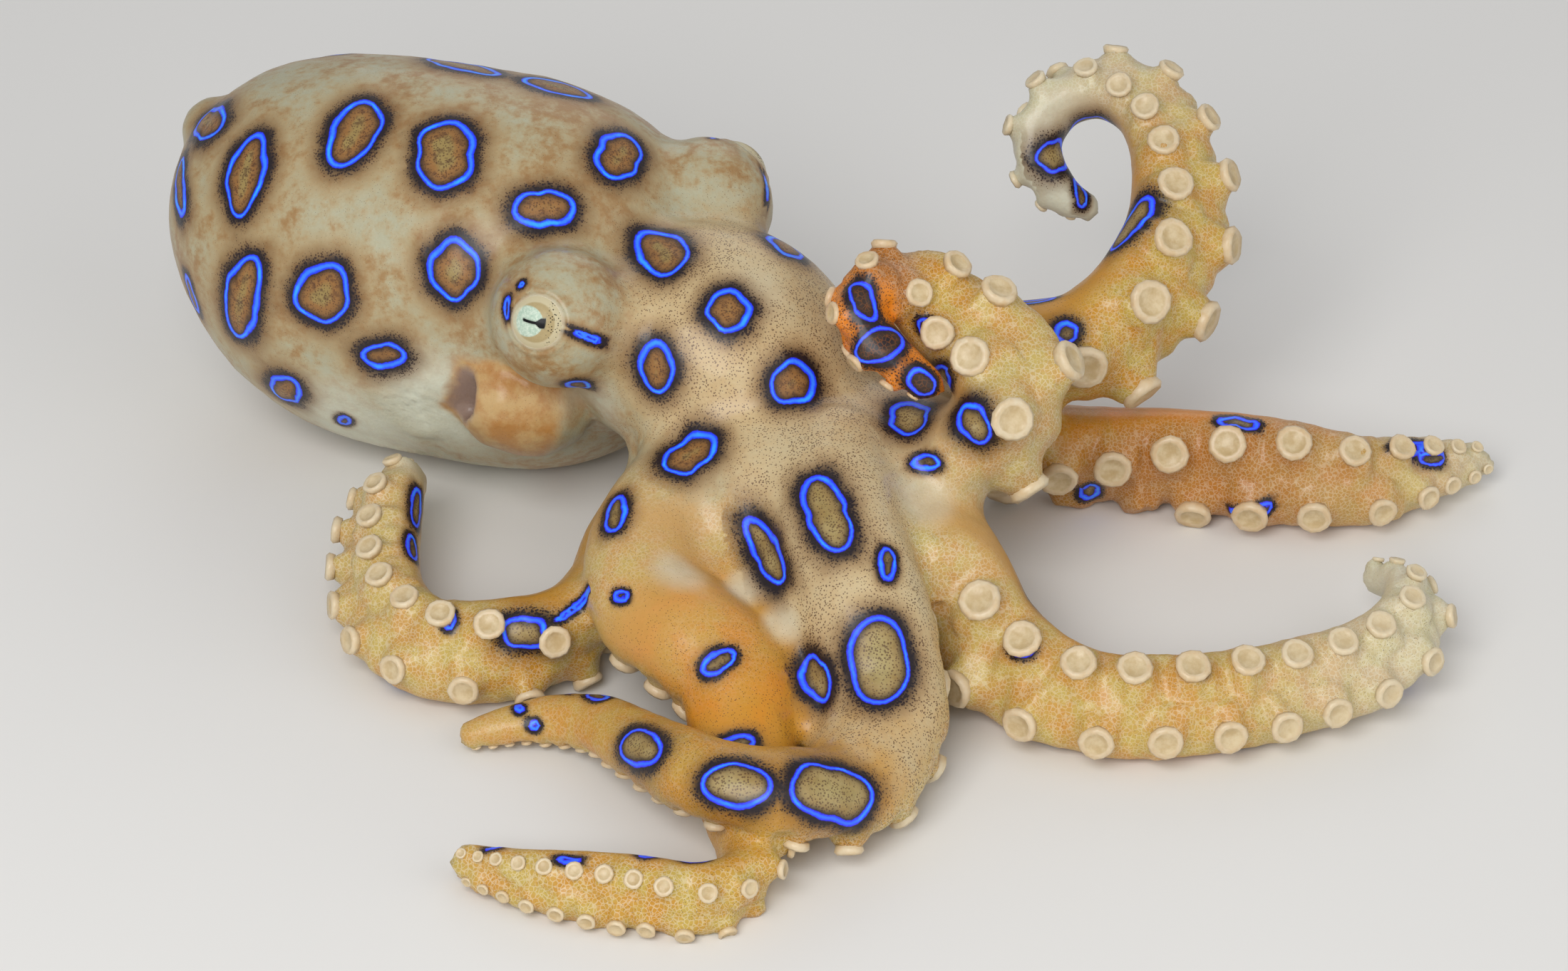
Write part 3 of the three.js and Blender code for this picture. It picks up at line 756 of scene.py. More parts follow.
def arm_rings(tree):
    """Places the arms' own marks, then spreads loose ones over the sides the tables leave out."""
    for name, line in LINES.items():
        rows = [row + (True,) for row in ARM_RINGS.get(name, [])]
        s, side = FAR_RINGS["from"], 1
        while s < FAR_RINGS["to"]:
            shrink = 1 - FAR_RINGS["shrink"] * s
            length, short = (size * shrink for size in FAR_RINGS["size"])
            rows.append((s, side * FAR_RINGS["around"], length, short, 0, False))
            s += FAR_RINGS["step"] / line.length
            side = -side
        taken = []
        for s, around, length, short, turn, listed in rows:
            middle, along, oral, across, half = (v[0] for v in line.at(s))
            a, t = math.radians(around), math.radians(turn)
            spot, out = cast(tree, middle, math.sin(a) * across - math.cos(a) * oral)
            if not listed:
                crowded = any(np.linalg.norm(spot - other) < FAR_RINGS["apart"] for other in taken)
                faces_off = out @ FAR_SIDE < FAR_RINGS["facing"]
                if crowded or faces_off or np.linalg.norm(spot - middle) > FAR_RINGS["deep"] * half:
                    continue
            taken.append(spot)
            ahead = unit(along - out * (out @ along))
            lengthwise = math.cos(t) * ahead + math.sin(t) * np.cross(out, ahead)
            yield spot, out, lengthwise, length, short, name, s


def mark(o, rings):
    """Writes, for every point of the skin, how far it is from the nearest ring mark and which
    kind of mark that is."""
    points, out = coordinates(o), normals(o)
    near = arm_nearness(points)
    nearest = np.min([near[name][0] for name in LINES], axis=0)
    draw = np.random.default_rng(SEED)
    distance = np.full(len(points), RING_REACH)
    wide, violet, core = (np.zeros(len(points)) for _ in range(3))
    for middle, way_out, lengthwise, length, short, arm, s in rings:
        phase, lobes = draw.uniform(0, 2 * math.pi, 2), draw.integers(2, 5)
        offset = points - middle
        far = np.linalg.norm(offset, axis=1)
        reach = length + RING_REACH
        inset = RING_INSET * fade(short, *INSET_FROM)
        length, short = length - inset, short - inset
        near_it = (far < reach) & (out @ way_out > SAME_SIDE)
        near_it &= np.abs(offset @ way_out) < SAME_DEPTH * reach
        if arm:
            apart, fraction, around = near[arm]
            near_it &= apart < nearest + SAME_ARM
            near_it &= np.abs(fraction - s) * LINES[arm].length < reach + 1
        else:
            near_it &= (nearest > OFF_ARMS) | (far < CLOSE_BY)
        p, d = offset[near_it], far[near_it]
        x, y = p @ lengthwise, p @ np.cross(way_out, lengthwise)
        stretch = d / np.maximum(np.hypot(x, y), 1e-6)
        x, y = x * stretch, y * stretch
        turn = np.arctan2(y, x)
        wave = 1 + MARK_WAVES[0] * np.sin(lobes * turn + phase[0])
        wave += MARK_WAVES[1] * np.sin((lobes + 2) * turn + phase[1])
        a, b = length * wave, short * wave
        k = np.sqrt((x / a) ** 2 + (y / b) ** 2)
        line_off = (k - 1) * k / np.maximum(np.sqrt((x / a**2) ** 2 + (y / b**2) ** 2), 1e-6)
        line_off = np.maximum(line_off, -min(length, short) * 0.98)
        band = ARM_BAND - ARM_BAND_TAPER * s if arm else BODY_BAND
        half_band = min(band, LEAST_BAND + BAND_GROWTH * min(length, short))
        half_band = half_band * (1 + BAND_SWAY * np.sin(turn + phase[1]))
        hurry = FRINGE_HURRY * fade(short, *HURRY_BELOW)
        line_off = line_off + hurry * np.maximum(line_off - half_band - HURRY_FROM, 0)
        ids = np.flatnonzero(near_it)
        closer = line_off < distance[ids]
        ids = ids[closer]
        distance[ids] = line_off[closer]
        wide[ids] = half_band[closer]
        violet[ids] = VIOLET_ROOT + VIOLET_GROWTH * s if arm else 0.0
        core[ids] = OLIVE_MIDDLE if arm else BROWN_MIDDLE
        if s > DARK_FROM.get(arm, 1):
            core[ids] = DARK_MIDDLE
    write(o, ring=distance, ring_wide=wide, violet=violet, core=core)
    tones(o, points, near, nearest)
    openings(o, points)


def tones(o, points, near, nearest):
    """Writes how warm, pale and dotted the skin is, and where it faces the suckers."""
    totals = np.zeros((5, len(points)))
    for name, (apart, s, around) in near.items():
        weight = np.exp(ARM_BLEND * (nearest - apart)) * fade(apart, *ARM_REACH)
        steps = np.linspace(0, 1, len(ARM_TONES[name][0]))
        warm, pale, dots = (np.interp(s, steps, row) for row in ARM_TONES[name])
        oral = fade(np.abs(around), *OLIVE_SIDE) * fade(s, *OLIVE_START)
        if name not in GOLDEN_BACKS:
            oral = np.maximum(oral, OLIVE_BACK * fade(s, *OLIVE_BACK_START))
        arm = fade(s, *ARM_START)
        totals += weight * np.stack([warm * arm, pale * arm, dots, oral, np.ones(len(points))])
    on_arm = np.clip(totals[4], 0, 1)
    warm, pale, dots, oral = totals[:4] / np.maximum(totals[4], 1e-6) * on_arm
    for at, reach, strength in PALE_PATCHES:
        far = np.linalg.norm(points - body_to_model([at])[0], axis=1)
        pale = np.maximum(pale, strength * fade(far, reach, 0.3 * reach))
    for at, reach, strength in OLIVE_PATCHES:
        far = np.linalg.norm(points - (np.array(at) + SHIFT), axis=1)
        oral = np.maximum(oral, strength * fade(far, reach, 0.4 * reach))
    head = np.linalg.norm(points - body_to_model([DOTTED["middle"]])[0], axis=1)
    dots = np.maximum(dots, DOTTED["least"] + DOTTED["more"] * fade(head, *DOTTED["reach"]))
    write(o, warm=warm, pale=pale, dots=dots, oral=oral)


def openings(o, points):
    """Writes where the funnel, its bore and the lids are."""
    f = FUNNEL
    root, mouth = (body_to_model([f[end]])[0] for end in ("root", "mouth"))
    length, axis = np.linalg.norm(mouth - root), unit(mouth - root)
    along = (points - root) @ axis
    off = np.linalg.norm(points - root - along[:, None] * axis, axis=1)
    narrow = np.interp(along / length, [0.4, 0.75, 1.0], [
        f["root_radius"] + 0.7, 1.4 * f["mouth_radius"] + 0.5, f["mouth_radius"] + 0.25])
    funnel = fade(off, narrow + 0.3, narrow - 0.3)
    funnel *= fade(along, 0.0, 1.6) * fade(along - length, 1.4, 0.7)
    bore = fade(off, f["mouth_radius"] - 0.1, f["mouth_radius"] - 0.7)
    bore *= fade(along - length, -f["bore"] - 1.0, -f["bore"] - 0.4)
    bore *= fade(along - length, 1.0, 0.4)
    lid = np.zeros(len(points))
    for side in (-1, 1):
        height, apart = from_axis(points, side)
        lid = np.maximum(lid, fade(apart, *LID_OUTSIDE) * fade(apart, *LID_INSIDE) * (height > 0))
    write(o, funnel=funnel, bore=bore, lid=lid)


def thin(o):
    """Merges small faces where the skin is plain, away from the marks and the eyes."""
    ring = np.empty(len(o.data.vertices))
    o.data.attributes["ring"].data.foreach_get("value", ring)
    plain = ring > PLAIN_FROM
    for side in (-1, 1):
        apart = np.linalg.norm(coordinates(o) - eye_place(side, EYE["bulge"]), axis=1)
        plain &= apart > LID_REACH + 1
    where = o.vertex_groups.new(name="plain")
    where.add(np.flatnonzero(plain).tolist(), 1.0, "REPLACE")
    select_only(o)
    fewer = o.modifiers.new("Thin", "DECIMATE")
    fewer.ratio = min(1.0, MOST_TRIANGLES / sum(len(f.vertices) - 2 for f in o.data.polygons))
    fewer.vertex_group = where.name
    bpy.ops.object.modifier_apply(modifier=fewer.name)
    o.vertex_groups.clear()
    lift_to_floor(o)


# ---- materials --------------------------------------------------------------

# how far outside a mark's blue band, in millimetres, each colour starts and is full
SHADE_REACH, UMBER_REACH, FRINGE_REACH = (3.4, 0.8), (1.9, 0.3), (1.5, 0.3)
HALO_REACH, RIM_REACH = (1.0, 0.05), (0.3, 0.1)
# how far inside it the middle's colour, its umber edge and its dark line start
MIDDLE_DEPTH, UMBER_DEPTH, LINE_DEPTH = (-0.5, -1.6), (-0.9, -0.3), (-0.5, -0.02)
# how warm the skin is where each colour starts and is full
OCHRE_WARMTH, ORANGE_WARMTH = (0.12, 0.5), (0.52, 1.0)
RUSSET_WARMTH, ORANGE_SUCKER_SIDE = (0.62, 0.78), (0.84, 0.94)
# sizes of the patterns, in millimetres
CLOUD, PATCH, FLECK, SPOT, GRAIN, NET = 5.0, 2.2, 0.9, 0.18, 0.24, 0.3
# the eye's parts, in millimetres from its axis
IRIS_EDGE, EYE_RIM = (0.92, 1.04), (1.36, 1.5)
SLIT_HALF, DROP_HALF, DROP_AT = 0.09, 0.26, (0.1, 0.55)
SLIT_ENDS = (0.92, 0.78), (-0.98, -0.80)


class Wiring:
    """Adds and joins shader nodes in one tree."""

    def __init__(self, tree):
        self.tree = tree
        self.count = 0

    def add(self, kind, inputs=(), **settings):
        node = self.tree.nodes.new(kind)
        node.location = (220 * (self.count // 6), -170 * (self.count % 6))
        self.count += 1
        for key, value in settings.items():
            setattr(node, key, value)
        for key, value in dict(inputs).items():
            self.put(value, node.inputs[key])
        return node

    def put(self, value, socket):
        if isinstance(value, bpy.types.NodeSocket):
            self.tree.links.new(value, socket)
        elif socket.type == "RGBA" and len(value) == 3:
            socket.default_value = (*value, 1.0)
        else:
            socket.default_value = value

    def math(self, operation, *values, clamp=False):
        node = self.add("ShaderNodeMath", dict(enumerate(values)), operation=operation)
        node.use_clamp = clamp
        return node.outputs[0]

    def times(self, first, second):
        return self.math("MULTIPLY", first, second)

    def scaled(self, value, by, plus):
        return self.math("MULTIPLY_ADD", value, by, plus)

    def step(self, value, low, high):
        """0 at low, 1 at high, smooth between."""
        inputs = {"Value": value, "From Min": low, "From Max": high}
        return self.add("ShaderNodeMapRange", inputs, interpolation_type="SMOOTHSTEP").outputs[0]

    def mix(self, factor, first, second):
        node = self.add("ShaderNodeMix", data_type="RGBA")
        self.put(factor, node.inputs[0])
        self.put(first, node.inputs[6])
        self.put(second, node.inputs[7])
        return node.outputs[2]

    def tinge(self, mask, share, first, second):
        """Mixes in at most this share of the second colour, where the mask is."""
        return self.mix(self.times(mask, share), first, second)

    def value(self, name):
        return self.add("ShaderNodeAttribute", attribute_name=name).outputs["Fac"]

    def place(self):
        return self.add("ShaderNodeTexCoord").outputs["Object"]

    def noise(self, where, size, detail=3.0, rough=0.55):
        """Soft noise whose features are about size millimetres across."""
        inputs = {"Vector": where, "Scale": 1 / (size * MM), "Detail": detail, "Roughness": rough}
        return self.add("ShaderNodeTexNoise", inputs).outputs[0]

    def cells(self, where, size, kind="F1"):
        """Distance from the middles of cells about size millimetres across."""
        inputs = {"Vector": where, "Scale": 1 / (size * MM)}
        return self.add("ShaderNodeTexVoronoi", inputs, feature=kind).outputs["Distance"]


def group(name, inputs, outputs, fill):
    """A shader node group with named sockets; fill wires it and gives its outputs."""
    if name in bpy.data.node_groups:
        return bpy.data.node_groups[name]
    tree = bpy.data.node_groups.new(name, "ShaderNodeTree")
    for way, labels in (("INPUT", inputs), ("OUTPUT", outputs)):
        for label in labels:
            tree.interface.new_socket(label, in_out=way, socket_type="NodeSocketFloat")
    wire = Wiring(tree)
    given = wire.add("NodeGroupInput")
    end = wire.add("NodeGroupOutput")
    for label, socket in fill(wire, given.outputs).items():
        wire.put(socket, end.inputs[label])
    return tree


def pigment_dots():
    """Small dark pigment dots, more and larger where Amount is higher."""

    def fill(wire, given):
        where = wire.place()
        cells = wire.cells(where, SPOT)
        reach = wire.scaled(given["Amount"], 0.30, 0.10)
        patch = wire.noise(where, 2.4, 2.0)
        reach = wire.times(reach, wire.scaled(patch, 0.9, 0.5))
        near = wire.math("SUBTRACT", reach, cells)
        return {"Mask": wire.step(near, 0.0, 0.10)}

    return group("Pigment dots", ["Amount"], ["Mask"], fill)


def wet_grain():
    """The height of moist skin: fine grains over soft wrinkles."""

    def fill(wire, given):
        where = wire.place()
        grain = wire.cells(where, GRAIN)
        soft = wire.times(wire.noise(where, 0.9, 5.0, 0.6), 1.6)
        return {"Height": wire.math("ADD", wire.times(grain, given["Grain"]), soft)}

    return group("Wet grain", ["Grain"], ["Height"], fill)


def use(wire, tree, **inputs):
    return wire.add("ShaderNodeGroup", inputs, node_tree=tree).outputs[0]


def end_with(wire, inputs):
    """Ends a material in one shader with these inputs."""
    shader = wire.add("ShaderNodeBsdfPrincipled", inputs)
    end = wire.add("ShaderNodeOutputMaterial")
    wire.put(shader.outputs[0], end.inputs["Surface"])


def finish(wire, color, grain, settings, **more):
    """Ends a material: its colour and relief on a moist, slightly soft shader."""
    height = use(wire, wet_grain(), Grain=grain)
    relief = wire.add("ShaderNodeBump", {
        "Height": height, "Distance": settings.relief, "Strength": 0.35})
    rough = wire.scaled(wire.noise(wire.place(), 0.8), 0.2, settings.roughness - 0.1)
    end_with(wire, {
        "Base Color": color, "Normal": relief.outputs[0], "Roughness": rough, "IOR": 1.38,
        "Coat Weight": settings.wetness, "Coat Roughness": 0.22,
        "Subsurface Weight": 0.1, "Subsurface Radius": (1.0, 0.7, 0.5),
        "Subsurface Scale": 0.5 * MM, **more})


def material(name):
    made = bpy.data.materials.new(name)
    made.use_nodes = True
    made.node_tree.nodes.clear()
    return made, Wiring(made.node_tree)


def tan_and_brown(wire, where, colors, near_mark):
    """The body's mottled ground: tan with brown clouds, greyer and paler away from the marks."""
    clouds = wire.noise(where, CLOUD, 4.0, 0.6)
    flecks = wire.noise(where, FLECK, 4.0, 0.65)
    mixed = wire.scaled(flecks, 0.45, wire.times(clouds, 0.55))
    ground = wire.tinge(wire.step(mixed, 0.46, 0.64), 0.7, colors.tan, colors.brown)
    grey = wire.step(wire.scaled(mixed, -1.6, 1.1), 0.15, 0.5)
    grey = wire.times(grey, wire.math("SUBTRACT", 1.0, near_mark))
    return wire.tinge(grey, 0.75, ground, colors.cream)


def sucker_side(wire, warm, patchy, fleck, colors):
    """More olive than the back, with a close net of pale flecks."""
    olive = wire.mix(wire.step(patchy, 0.35, 0.65), colors.olive, colors.ochre)
    olive = wire.mix(wire.step(warm, *RUSSET_WARMTH), olive, colors.russet)
    olive = wire.mix(wire.step(warm, *ORANGE_SUCKER_SIDE), olive, colors.orange)
    return wire.mix(wire.times(fleck, wire.scaled(warm, -0.48, 0.62)), olive, colors.fleck)


def mark_middle(wire, where, inner, patchy, fleck, colors):
    """Inside the band: a dark line, then an olive-brown or near-black middle with its own dots."""
    core = wire.value("core")
    deep = wire.math("ADD", wire.step(inner, *MIDDLE_DEPTH), wire.scaled(patchy, 1.2, -0.6))
    middle = wire.mix(wire.step(deep, 0.1, 1.0), colors.brown, colors.core)
    mottled = wire.step(wire.noise(where, 0.5), 0.5, 0.66)
    middle = wire.tinge(mottled, 0.6, middle, colors.dot)
    olive = wire.mix(wire.step(patchy, 0.35, 0.65), colors.core_olive, colors.core)
    middle = wire.tinge(wire.step(core, 0.25, 0.1), 0.75, middle, olive)
    spots = use(wire, pigment_dots(), Amount=1.1)
    middle = wire.tinge(spots, 0.7, middle, colors.dot)
    dark = wire.tinge(fleck, 0.16, colors.halo, colors.orange)
    middle = wire.mix(wire.step(core, 0.6, 0.8), middle, dark)
    middle = wire.tinge(wire.step(inner, *UMBER_DEPTH), 0.35, middle, colors.umber)
    return wire.tinge(wire.step(inner, *LINE_DEPTH), 0.85, middle, colors.halo)


def blue_band(wire, where, off, wide, colors):
    """The band's own colour: lighter along its middle, with stretches of cyan."""
    light = wire.math("DIVIDE", off, wire.math("MAXIMUM", wide, 0.05))
    light = wire.step(light, 0.9, 0.1)
    violet = wire.value("violet")
    edge = wire.mix(violet, colors.band_edge, colors.band_violet)
    light = wire.times(light, wire.scaled(violet, -0.5, 1.0))
    cyan = wire.times(wire.step(wire.noise(where, 1.7, 1.0), 0.5, 0.68), light)
    return wire.tinge(cyan, 0.6, wire.mix(light, edge, colors.band), colors.band_cyan)


def skin_material(colors):
    made, wire = material("mottled skin")
    where = wire.place()
    warm, pale, oral, dots = (wire.value(n) for n in ("warm", "pale", "oral", "dots"))
    ring, wide = wire.value("ring"), wire.value("ring_wide")
    reach = wire.math("ADD", ring, wire.scaled(wire.noise(where, 0.35, 2.0), 0.14, -0.07))
    beyond = wire.math("SUBTRACT", reach, wide)
    patchy = wire.noise(where, PATCH, 4.0, 0.6)
    # the ground: tan and brown, buff on the head, ochre and orange on the arms
    base = tan_and_brown(wire, where, colors, wire.step(beyond, *SHADE_REACH))
    base = wire.tinge(wire.step(dots, 0.3, 0.9), 0.68, base, colors.buff)
    warmth = wire.math("ADD", warm, wire.scaled(patchy, 0.35, -0.175))
    base = wire.mix(wire.step(warmth, *OCHRE_WARMTH), base, colors.ochre)
    base = wire.mix(wire.step(warmth, *ORANGE_WARMTH), base, colors.orange)
    net = wire.cells(where, NET, "DISTANCE_TO_EDGE")
    net = wire.math("ADD", net, wire.times(wire.noise(where, 0.4, 3.0), 0.3))
    fleck = wire.step(net, 0.30, 0.16)
    base = wire.tinge(oral, 0.85, base, sucker_side(wire, warm, patchy, fleck, colors))
    paleness = wire.math("MULTIPLY", pale, wire.scaled(patchy, 0.8, 0.55), clamp=True)
    base = wire.mix(paleness, base, colors.pale)
    # the funnel's thin wall and its grey bore
    sac = wire.mix(wire.step(patchy, 0.38, 0.62), colors.funnel, colors.funnel_pale)
    base = wire.tinge(wire.value("funnel"), 0.9, base, sac)
    base = wire.mix(wire.value("bore"), base, colors.bore)
    # brown shade and pigment dots, gathered into a dark fringe round each mark
    muted = wire.scaled(wire.step(warm, 0.3, 0.9), -0.75, 1.0)
    shade = wire.step(wire.scaled(patchy, 1.6, beyond), *SHADE_REACH)
    base = wire.mix(wire.times(wire.times(shade, 0.5), muted), base, colors.brown)
    close = wire.times(wire.step(beyond, *UMBER_REACH), 0.6)
    base = wire.mix(wire.times(close, muted), base, colors.umber)
    open_skin = wire.times(dots, wire.math("SUBTRACT", 1.0, paleness))
    fringe = wire.times(wire.step(beyond, *FRINGE_REACH), 1.5)
    spots = use(wire, pigment_dots(), Amount=wire.math("MAXIMUM", open_skin, fringe))
    base = wire.tinge(spots, 0.75, base, colors.dot)
    edge = wire.math("ADD", beyond, wire.scaled(patchy, 1.3, -0.65))
    halo = wire.step(wire.scaled(spots, -0.3, edge), *HALO_REACH)
    halo = wire.math("MAXIMUM", halo, wire.step(beyond, *RIM_REACH))
    base = wire.mix(halo, base, colors.halo)
    # the mark itself
    inner = wire.math("ADD", reach, wide)
    middle = mark_middle(wire, where, inner, patchy, fleck, colors)
    base = wire.mix(wire.step(inner, 0.0, -0.1), base, middle)
    off = wire.math("ABSOLUTE", reach)
    band = wire.step(wire.math("SUBTRACT", off, wide), 0.06, -0.05)
    blue = blue_band(wire, where, off, wide, colors)
    shown = wire.mix(band, base, blue)
    shown = wire.tinge(wire.value("lid"), 0.32, shown, colors.fleck)
    dark = (0.0, 0.0, 0.0)
    # painted glow: the blue bands give off a faint blue light of their own (emission), so they stay
    # bright where they lie in shade
    painted_band_glow = wire.mix(band, dark, wire.mix(0.88, blue, dark))
    finish(wire, shown, 0.5, colors, **{"Emission Color": painted_band_glow, "Emission Strength": 1.0})
    return made


def sucker_material(colors):
    made, wire = material("sucker skin")
    where = wire.place()
    cup, warm, pale = (wire.value(n) for n in ("cup", "warm", "pale"))
    clouds = wire.noise(where, FLECK, 4.0, 0.6)
    rim = wire.mix(wire.step(clouds, 0.35, 0.7), colors.rim, colors.flesh)
    rim = wire.tinge(warm, 0.38, rim, colors.warm_flesh)
    inside = wire.mix(wire.step(clouds, 0.3, 0.7), colors.hollow, colors.flesh)
    shown = wire.mix(wire.step(cup, 0.62, 0.42), rim, inside)
    shown = wire.tinge(pale, 0.6, shown, colors.rim)
    spots = use(wire, pigment_dots(), Amount=0.15)
    shown = wire.tinge(spots, 0.35, shown, colors.warm_flesh)
    finish(wire, shown, 0.35, colors)
    return made


def eye_material(colors):
    """A pale iris with a dark slit, under a clear wet coat; it reads the places that the eye
    stores, across and up from its axis in millimetres."""
    made, wire = material("eye")
    across, up = wire.value("across"), wire.value("up")
    squares = (wire.math("POWER", side, 2.0) for side in (across, up))
    r = wire.math("SQRT", wire.math("ADD", *squares))
    streaks = wire.noise(wire.place(), 0.22, 4.0, 0.7)
    iris = wire.mix(wire.step(streaks, 0.35, 0.7), colors.iris, colors.iris_pale)
    flesh = wire.mix(streaks, colors.flesh, colors.flesh_pale)
    iris = wire.mix(wire.step(wire.scaled(across, 0.45, r), *IRIS_EDGE), iris, flesh)
    iris = wire.tinge(wire.step(r, *EYE_RIM), 0.7, iris, colors.rim)
    # a dark-dotted quarter on the arms' side
    dotted = wire.times(wire.step(across, 0.75, 1.0), use(wire, pigment_dots(), Amount=0.9))
    iris = wire.tinge(dotted, 0.9, iris, colors.pupil)
    # the slit: thin, bent a little, with a drop at its arm end
    bend = wire.times(wire.math("POWER", across, 2.0), 0.12)
    bend = wire.math("ABSOLUTE", wire.math("SUBTRACT", up, bend))
    half = wire.scaled(wire.step(across, *DROP_AT), DROP_HALF, SLIT_HALF)
    ends = wire.times(*(wire.step(across, *end) for end in SLIT_ENDS))
    slit = wire.step(wire.math("SUBTRACT", bend, wire.times(half, ends)), 0.03, -0.01)
    rim_shade = wire.step(wire.math("SUBTRACT", bend, half), 0.16, 0.0)
    iris = wire.tinge(wire.times(rim_shade, ends), 0.5, iris, colors.iris_dark)
    end_with(wire, {
        "Base Color": wire.mix(wire.times(slit, ends), iris, colors.pupil),
        "Roughness": wire.scaled(streaks, 0.1, 0.38), "Coat Weight": 0.12,
        "Coat Roughness": 0.12, "IOR": 1.36, "Specular IOR Level": 0.3})
    return made


def floor_material(colors):
    made, wire = material("studio floor")
    cloud = wire.noise(wire.place(), 60.0, 3.0)
    shown = wire.tinge(cloud, 0.3, colors.floor, colors.floor_shade)
    end_with(wire, {"Base Color": shown, "Roughness": 0.85})
    return made


def paint(o, made):
    o.data.materials.clear()
    o.data.materials.append(made)
    o.data.shade_smooth()


# ---- settings ---------------------------------------------------------------


def color_setting(label, *seen):
    return FloatVectorProperty(
        name=label, description=f"{label}, as light", subtype="COLOR", size=3, min=0, max=1,
        default=tint(*seen))


def share_setting(label, value):
    return FloatProperty(
        name=label, description=label, default=value, min=0, max=1, subtype="FACTOR")


def length_setting(label, value):
    return FloatProperty(
        name=label, description=f"{label}, in metres", default=value * MM, min=0, precision=5,
        unit="LENGTH")


class SkinSettings(bpy.types.PropertyGroup):
    """Colours and finish of the skin and its marks."""

    grain: length_setting("Fineness of the skin mesh", SKIN_GRAIN)
    swells: length_setting("Height of the skin's swells and wrinkles", 0.14)
    relief: length_setting("Height of the fine grain", 0.10)
    wetness: share_setting("Wet coat", 0.35)
    roughness: share_setting("Roughness under the coat", 0.5)
    tan: color_setting("Tan ground", 174, 152, 110)
    buff: color_setting("Buff ground under the head's fine dots", 210, 184, 138)
    cream: color_setting("Greenish cream clouds", 174, 176, 152)
    brown: color_setting("Brown clouds", 148, 104, 54)
    umber: color_setting("Dark brown by the marks", 92, 64, 34)
    ochre: color_setting("Ochre of the arms", 194, 138, 38)
    orange: color_setting("Orange of the curled tip", 230, 130, 6)
    russet: color_setting("Russet of the low arm's sucker side", 164, 104, 42)
    olive: color_setting("Olive of the sucker side", 192, 168, 80)
    fleck: color_setting("White flecks", 236, 230, 204)
    pale: color_setting("Pale underside", 212, 214, 194)
    dot: color_setting("Pigment dots", 78, 46, 26)
    halo: color_setting("Dark edge of the marks", 26, 14, 20)
    funnel: color_setting("Funnel's wall", 178, 124, 62)
    funnel_pale: color_setting("Pale spots of the funnel", 196, 160, 104)
    bore: color_setting("Funnel's bore", 140, 116, 102)
    core: color_setting("Middle of the marks", 152, 130, 76)
    core_olive: color_setting("Olive middle of the arms' marks", 172, 156, 104)
    band: color_setting("Blue of the marks", 48, 124, 255)
    band_cyan: color_setting("Lighter stretches of the marks", 40, 178, 255)
    band_edge: color_setting("Deep blue of the marks", 20, 48, 255)
    band_violet: color_setting("Violet blue of the arms' marks", 52, 42, 255)


class SuckerSettings(bpy.types.PropertyGroup):
    """Colours and finish of the suckers."""

    waviness: share_setting("Waviness of the rims", 0.03)
    relief: length_setting("Height of the fine grain", 0.08)
    wetness: share_setting("Wet coat", 0.35)
    roughness: share_setting("Roughness under the coat", 0.5)
    rim: color_setting("Pale rim", 222, 210, 180)
    flesh: color_setting("Flesh of the cup", 212, 192, 154)
    hollow: color_setting("Hollow of the cup", 190, 164, 118)
    warm_flesh: color_setting("Warm flesh", 204, 148, 84)


class EyeSettings(bpy.types.PropertyGroup):
    """Colours of the eyes."""

    iris: color_setting("Iris", 172, 196, 176)
    iris_pale: color_setting("Pale streaks of the iris", 214, 226, 208)
    iris_dark: color_setting("Shade along the slit", 120, 128, 116)
    flesh_pale: color_setting("Pale streaks of the flesh round the iris", 186, 170, 128)
    flesh: color_setting("Tan flesh round the iris", 164, 142, 98)
    rim: color_setting("Pale rim", 210, 200, 166)
    pupil: color_setting("Pupil", 8, 8, 10)


class StageSettings(bpy.types.PropertyGroup):
    """Floor, lights and camera."""

    floor: color_setting("Floor", 230, 228, 224)
    floor_shade: color_setting("Floor's soft clouds", 222, 220, 216)
    elevation: FloatProperty(
        name="Camera elevation", description="How far the camera looks down", subtype="ANGLE",
        default=math.radians(35), min=0, max=math.pi / 2)
    distance: length_setting("Camera distance", 320.0)
    key_power: FloatProperty(
        name="Key light", description="Power of the main soft light", default=1.1, min=0,
        unit="POWER")


# ---- operators --------------------------------------------------------------


class OCTOPUS_OT_skin(bpy.types.Operator):
    """Build the one skin over body and arms, with its lids and marks"""

    bl_idname = "octopus.skin"
    bl_label = "Skin"

    def execute(self, context):
        settings = context.scene.octopus_skin
        whole = [body_part(), ball("funnel", *BALLS["funnel"], funnel_shape)]
        for name, line in LINES.items():
            whole.append(ball(name, ARM_SIDES, round(line.length / ARM_STEP), arm_shape(line)))
        whole.append(stamp("stalks", turned(STALK_OUTLINE, SUCKER["sides"]), [
            (foot, out, along, r, SUCKER["rise"] * r)
            for foot, out, along, r, arm, s in sucker_places()]))
        skin = join(whole, "skin")
        fuse(skin, settings.grain / MM)
        smooth(skin, 3)
        uneven(skin, settings.swells / MM)
        tree = surface(skin)
        rings = [*body_rings(tree, MANTLE_RINGS, MANTLE, MANTLE_MIRROR),
                 *body_rings(tree, HEAD_RINGS, HEAD, HEAD_MIRROR), *arm_rings(tree)]
        lids(skin)
        mark(skin, rings)
        thin(skin)
        paint(skin, skin_material(settings))
        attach(skin, "root")
        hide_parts(*[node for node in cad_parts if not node.startswith("eye")])
        return {"FINISHED"}


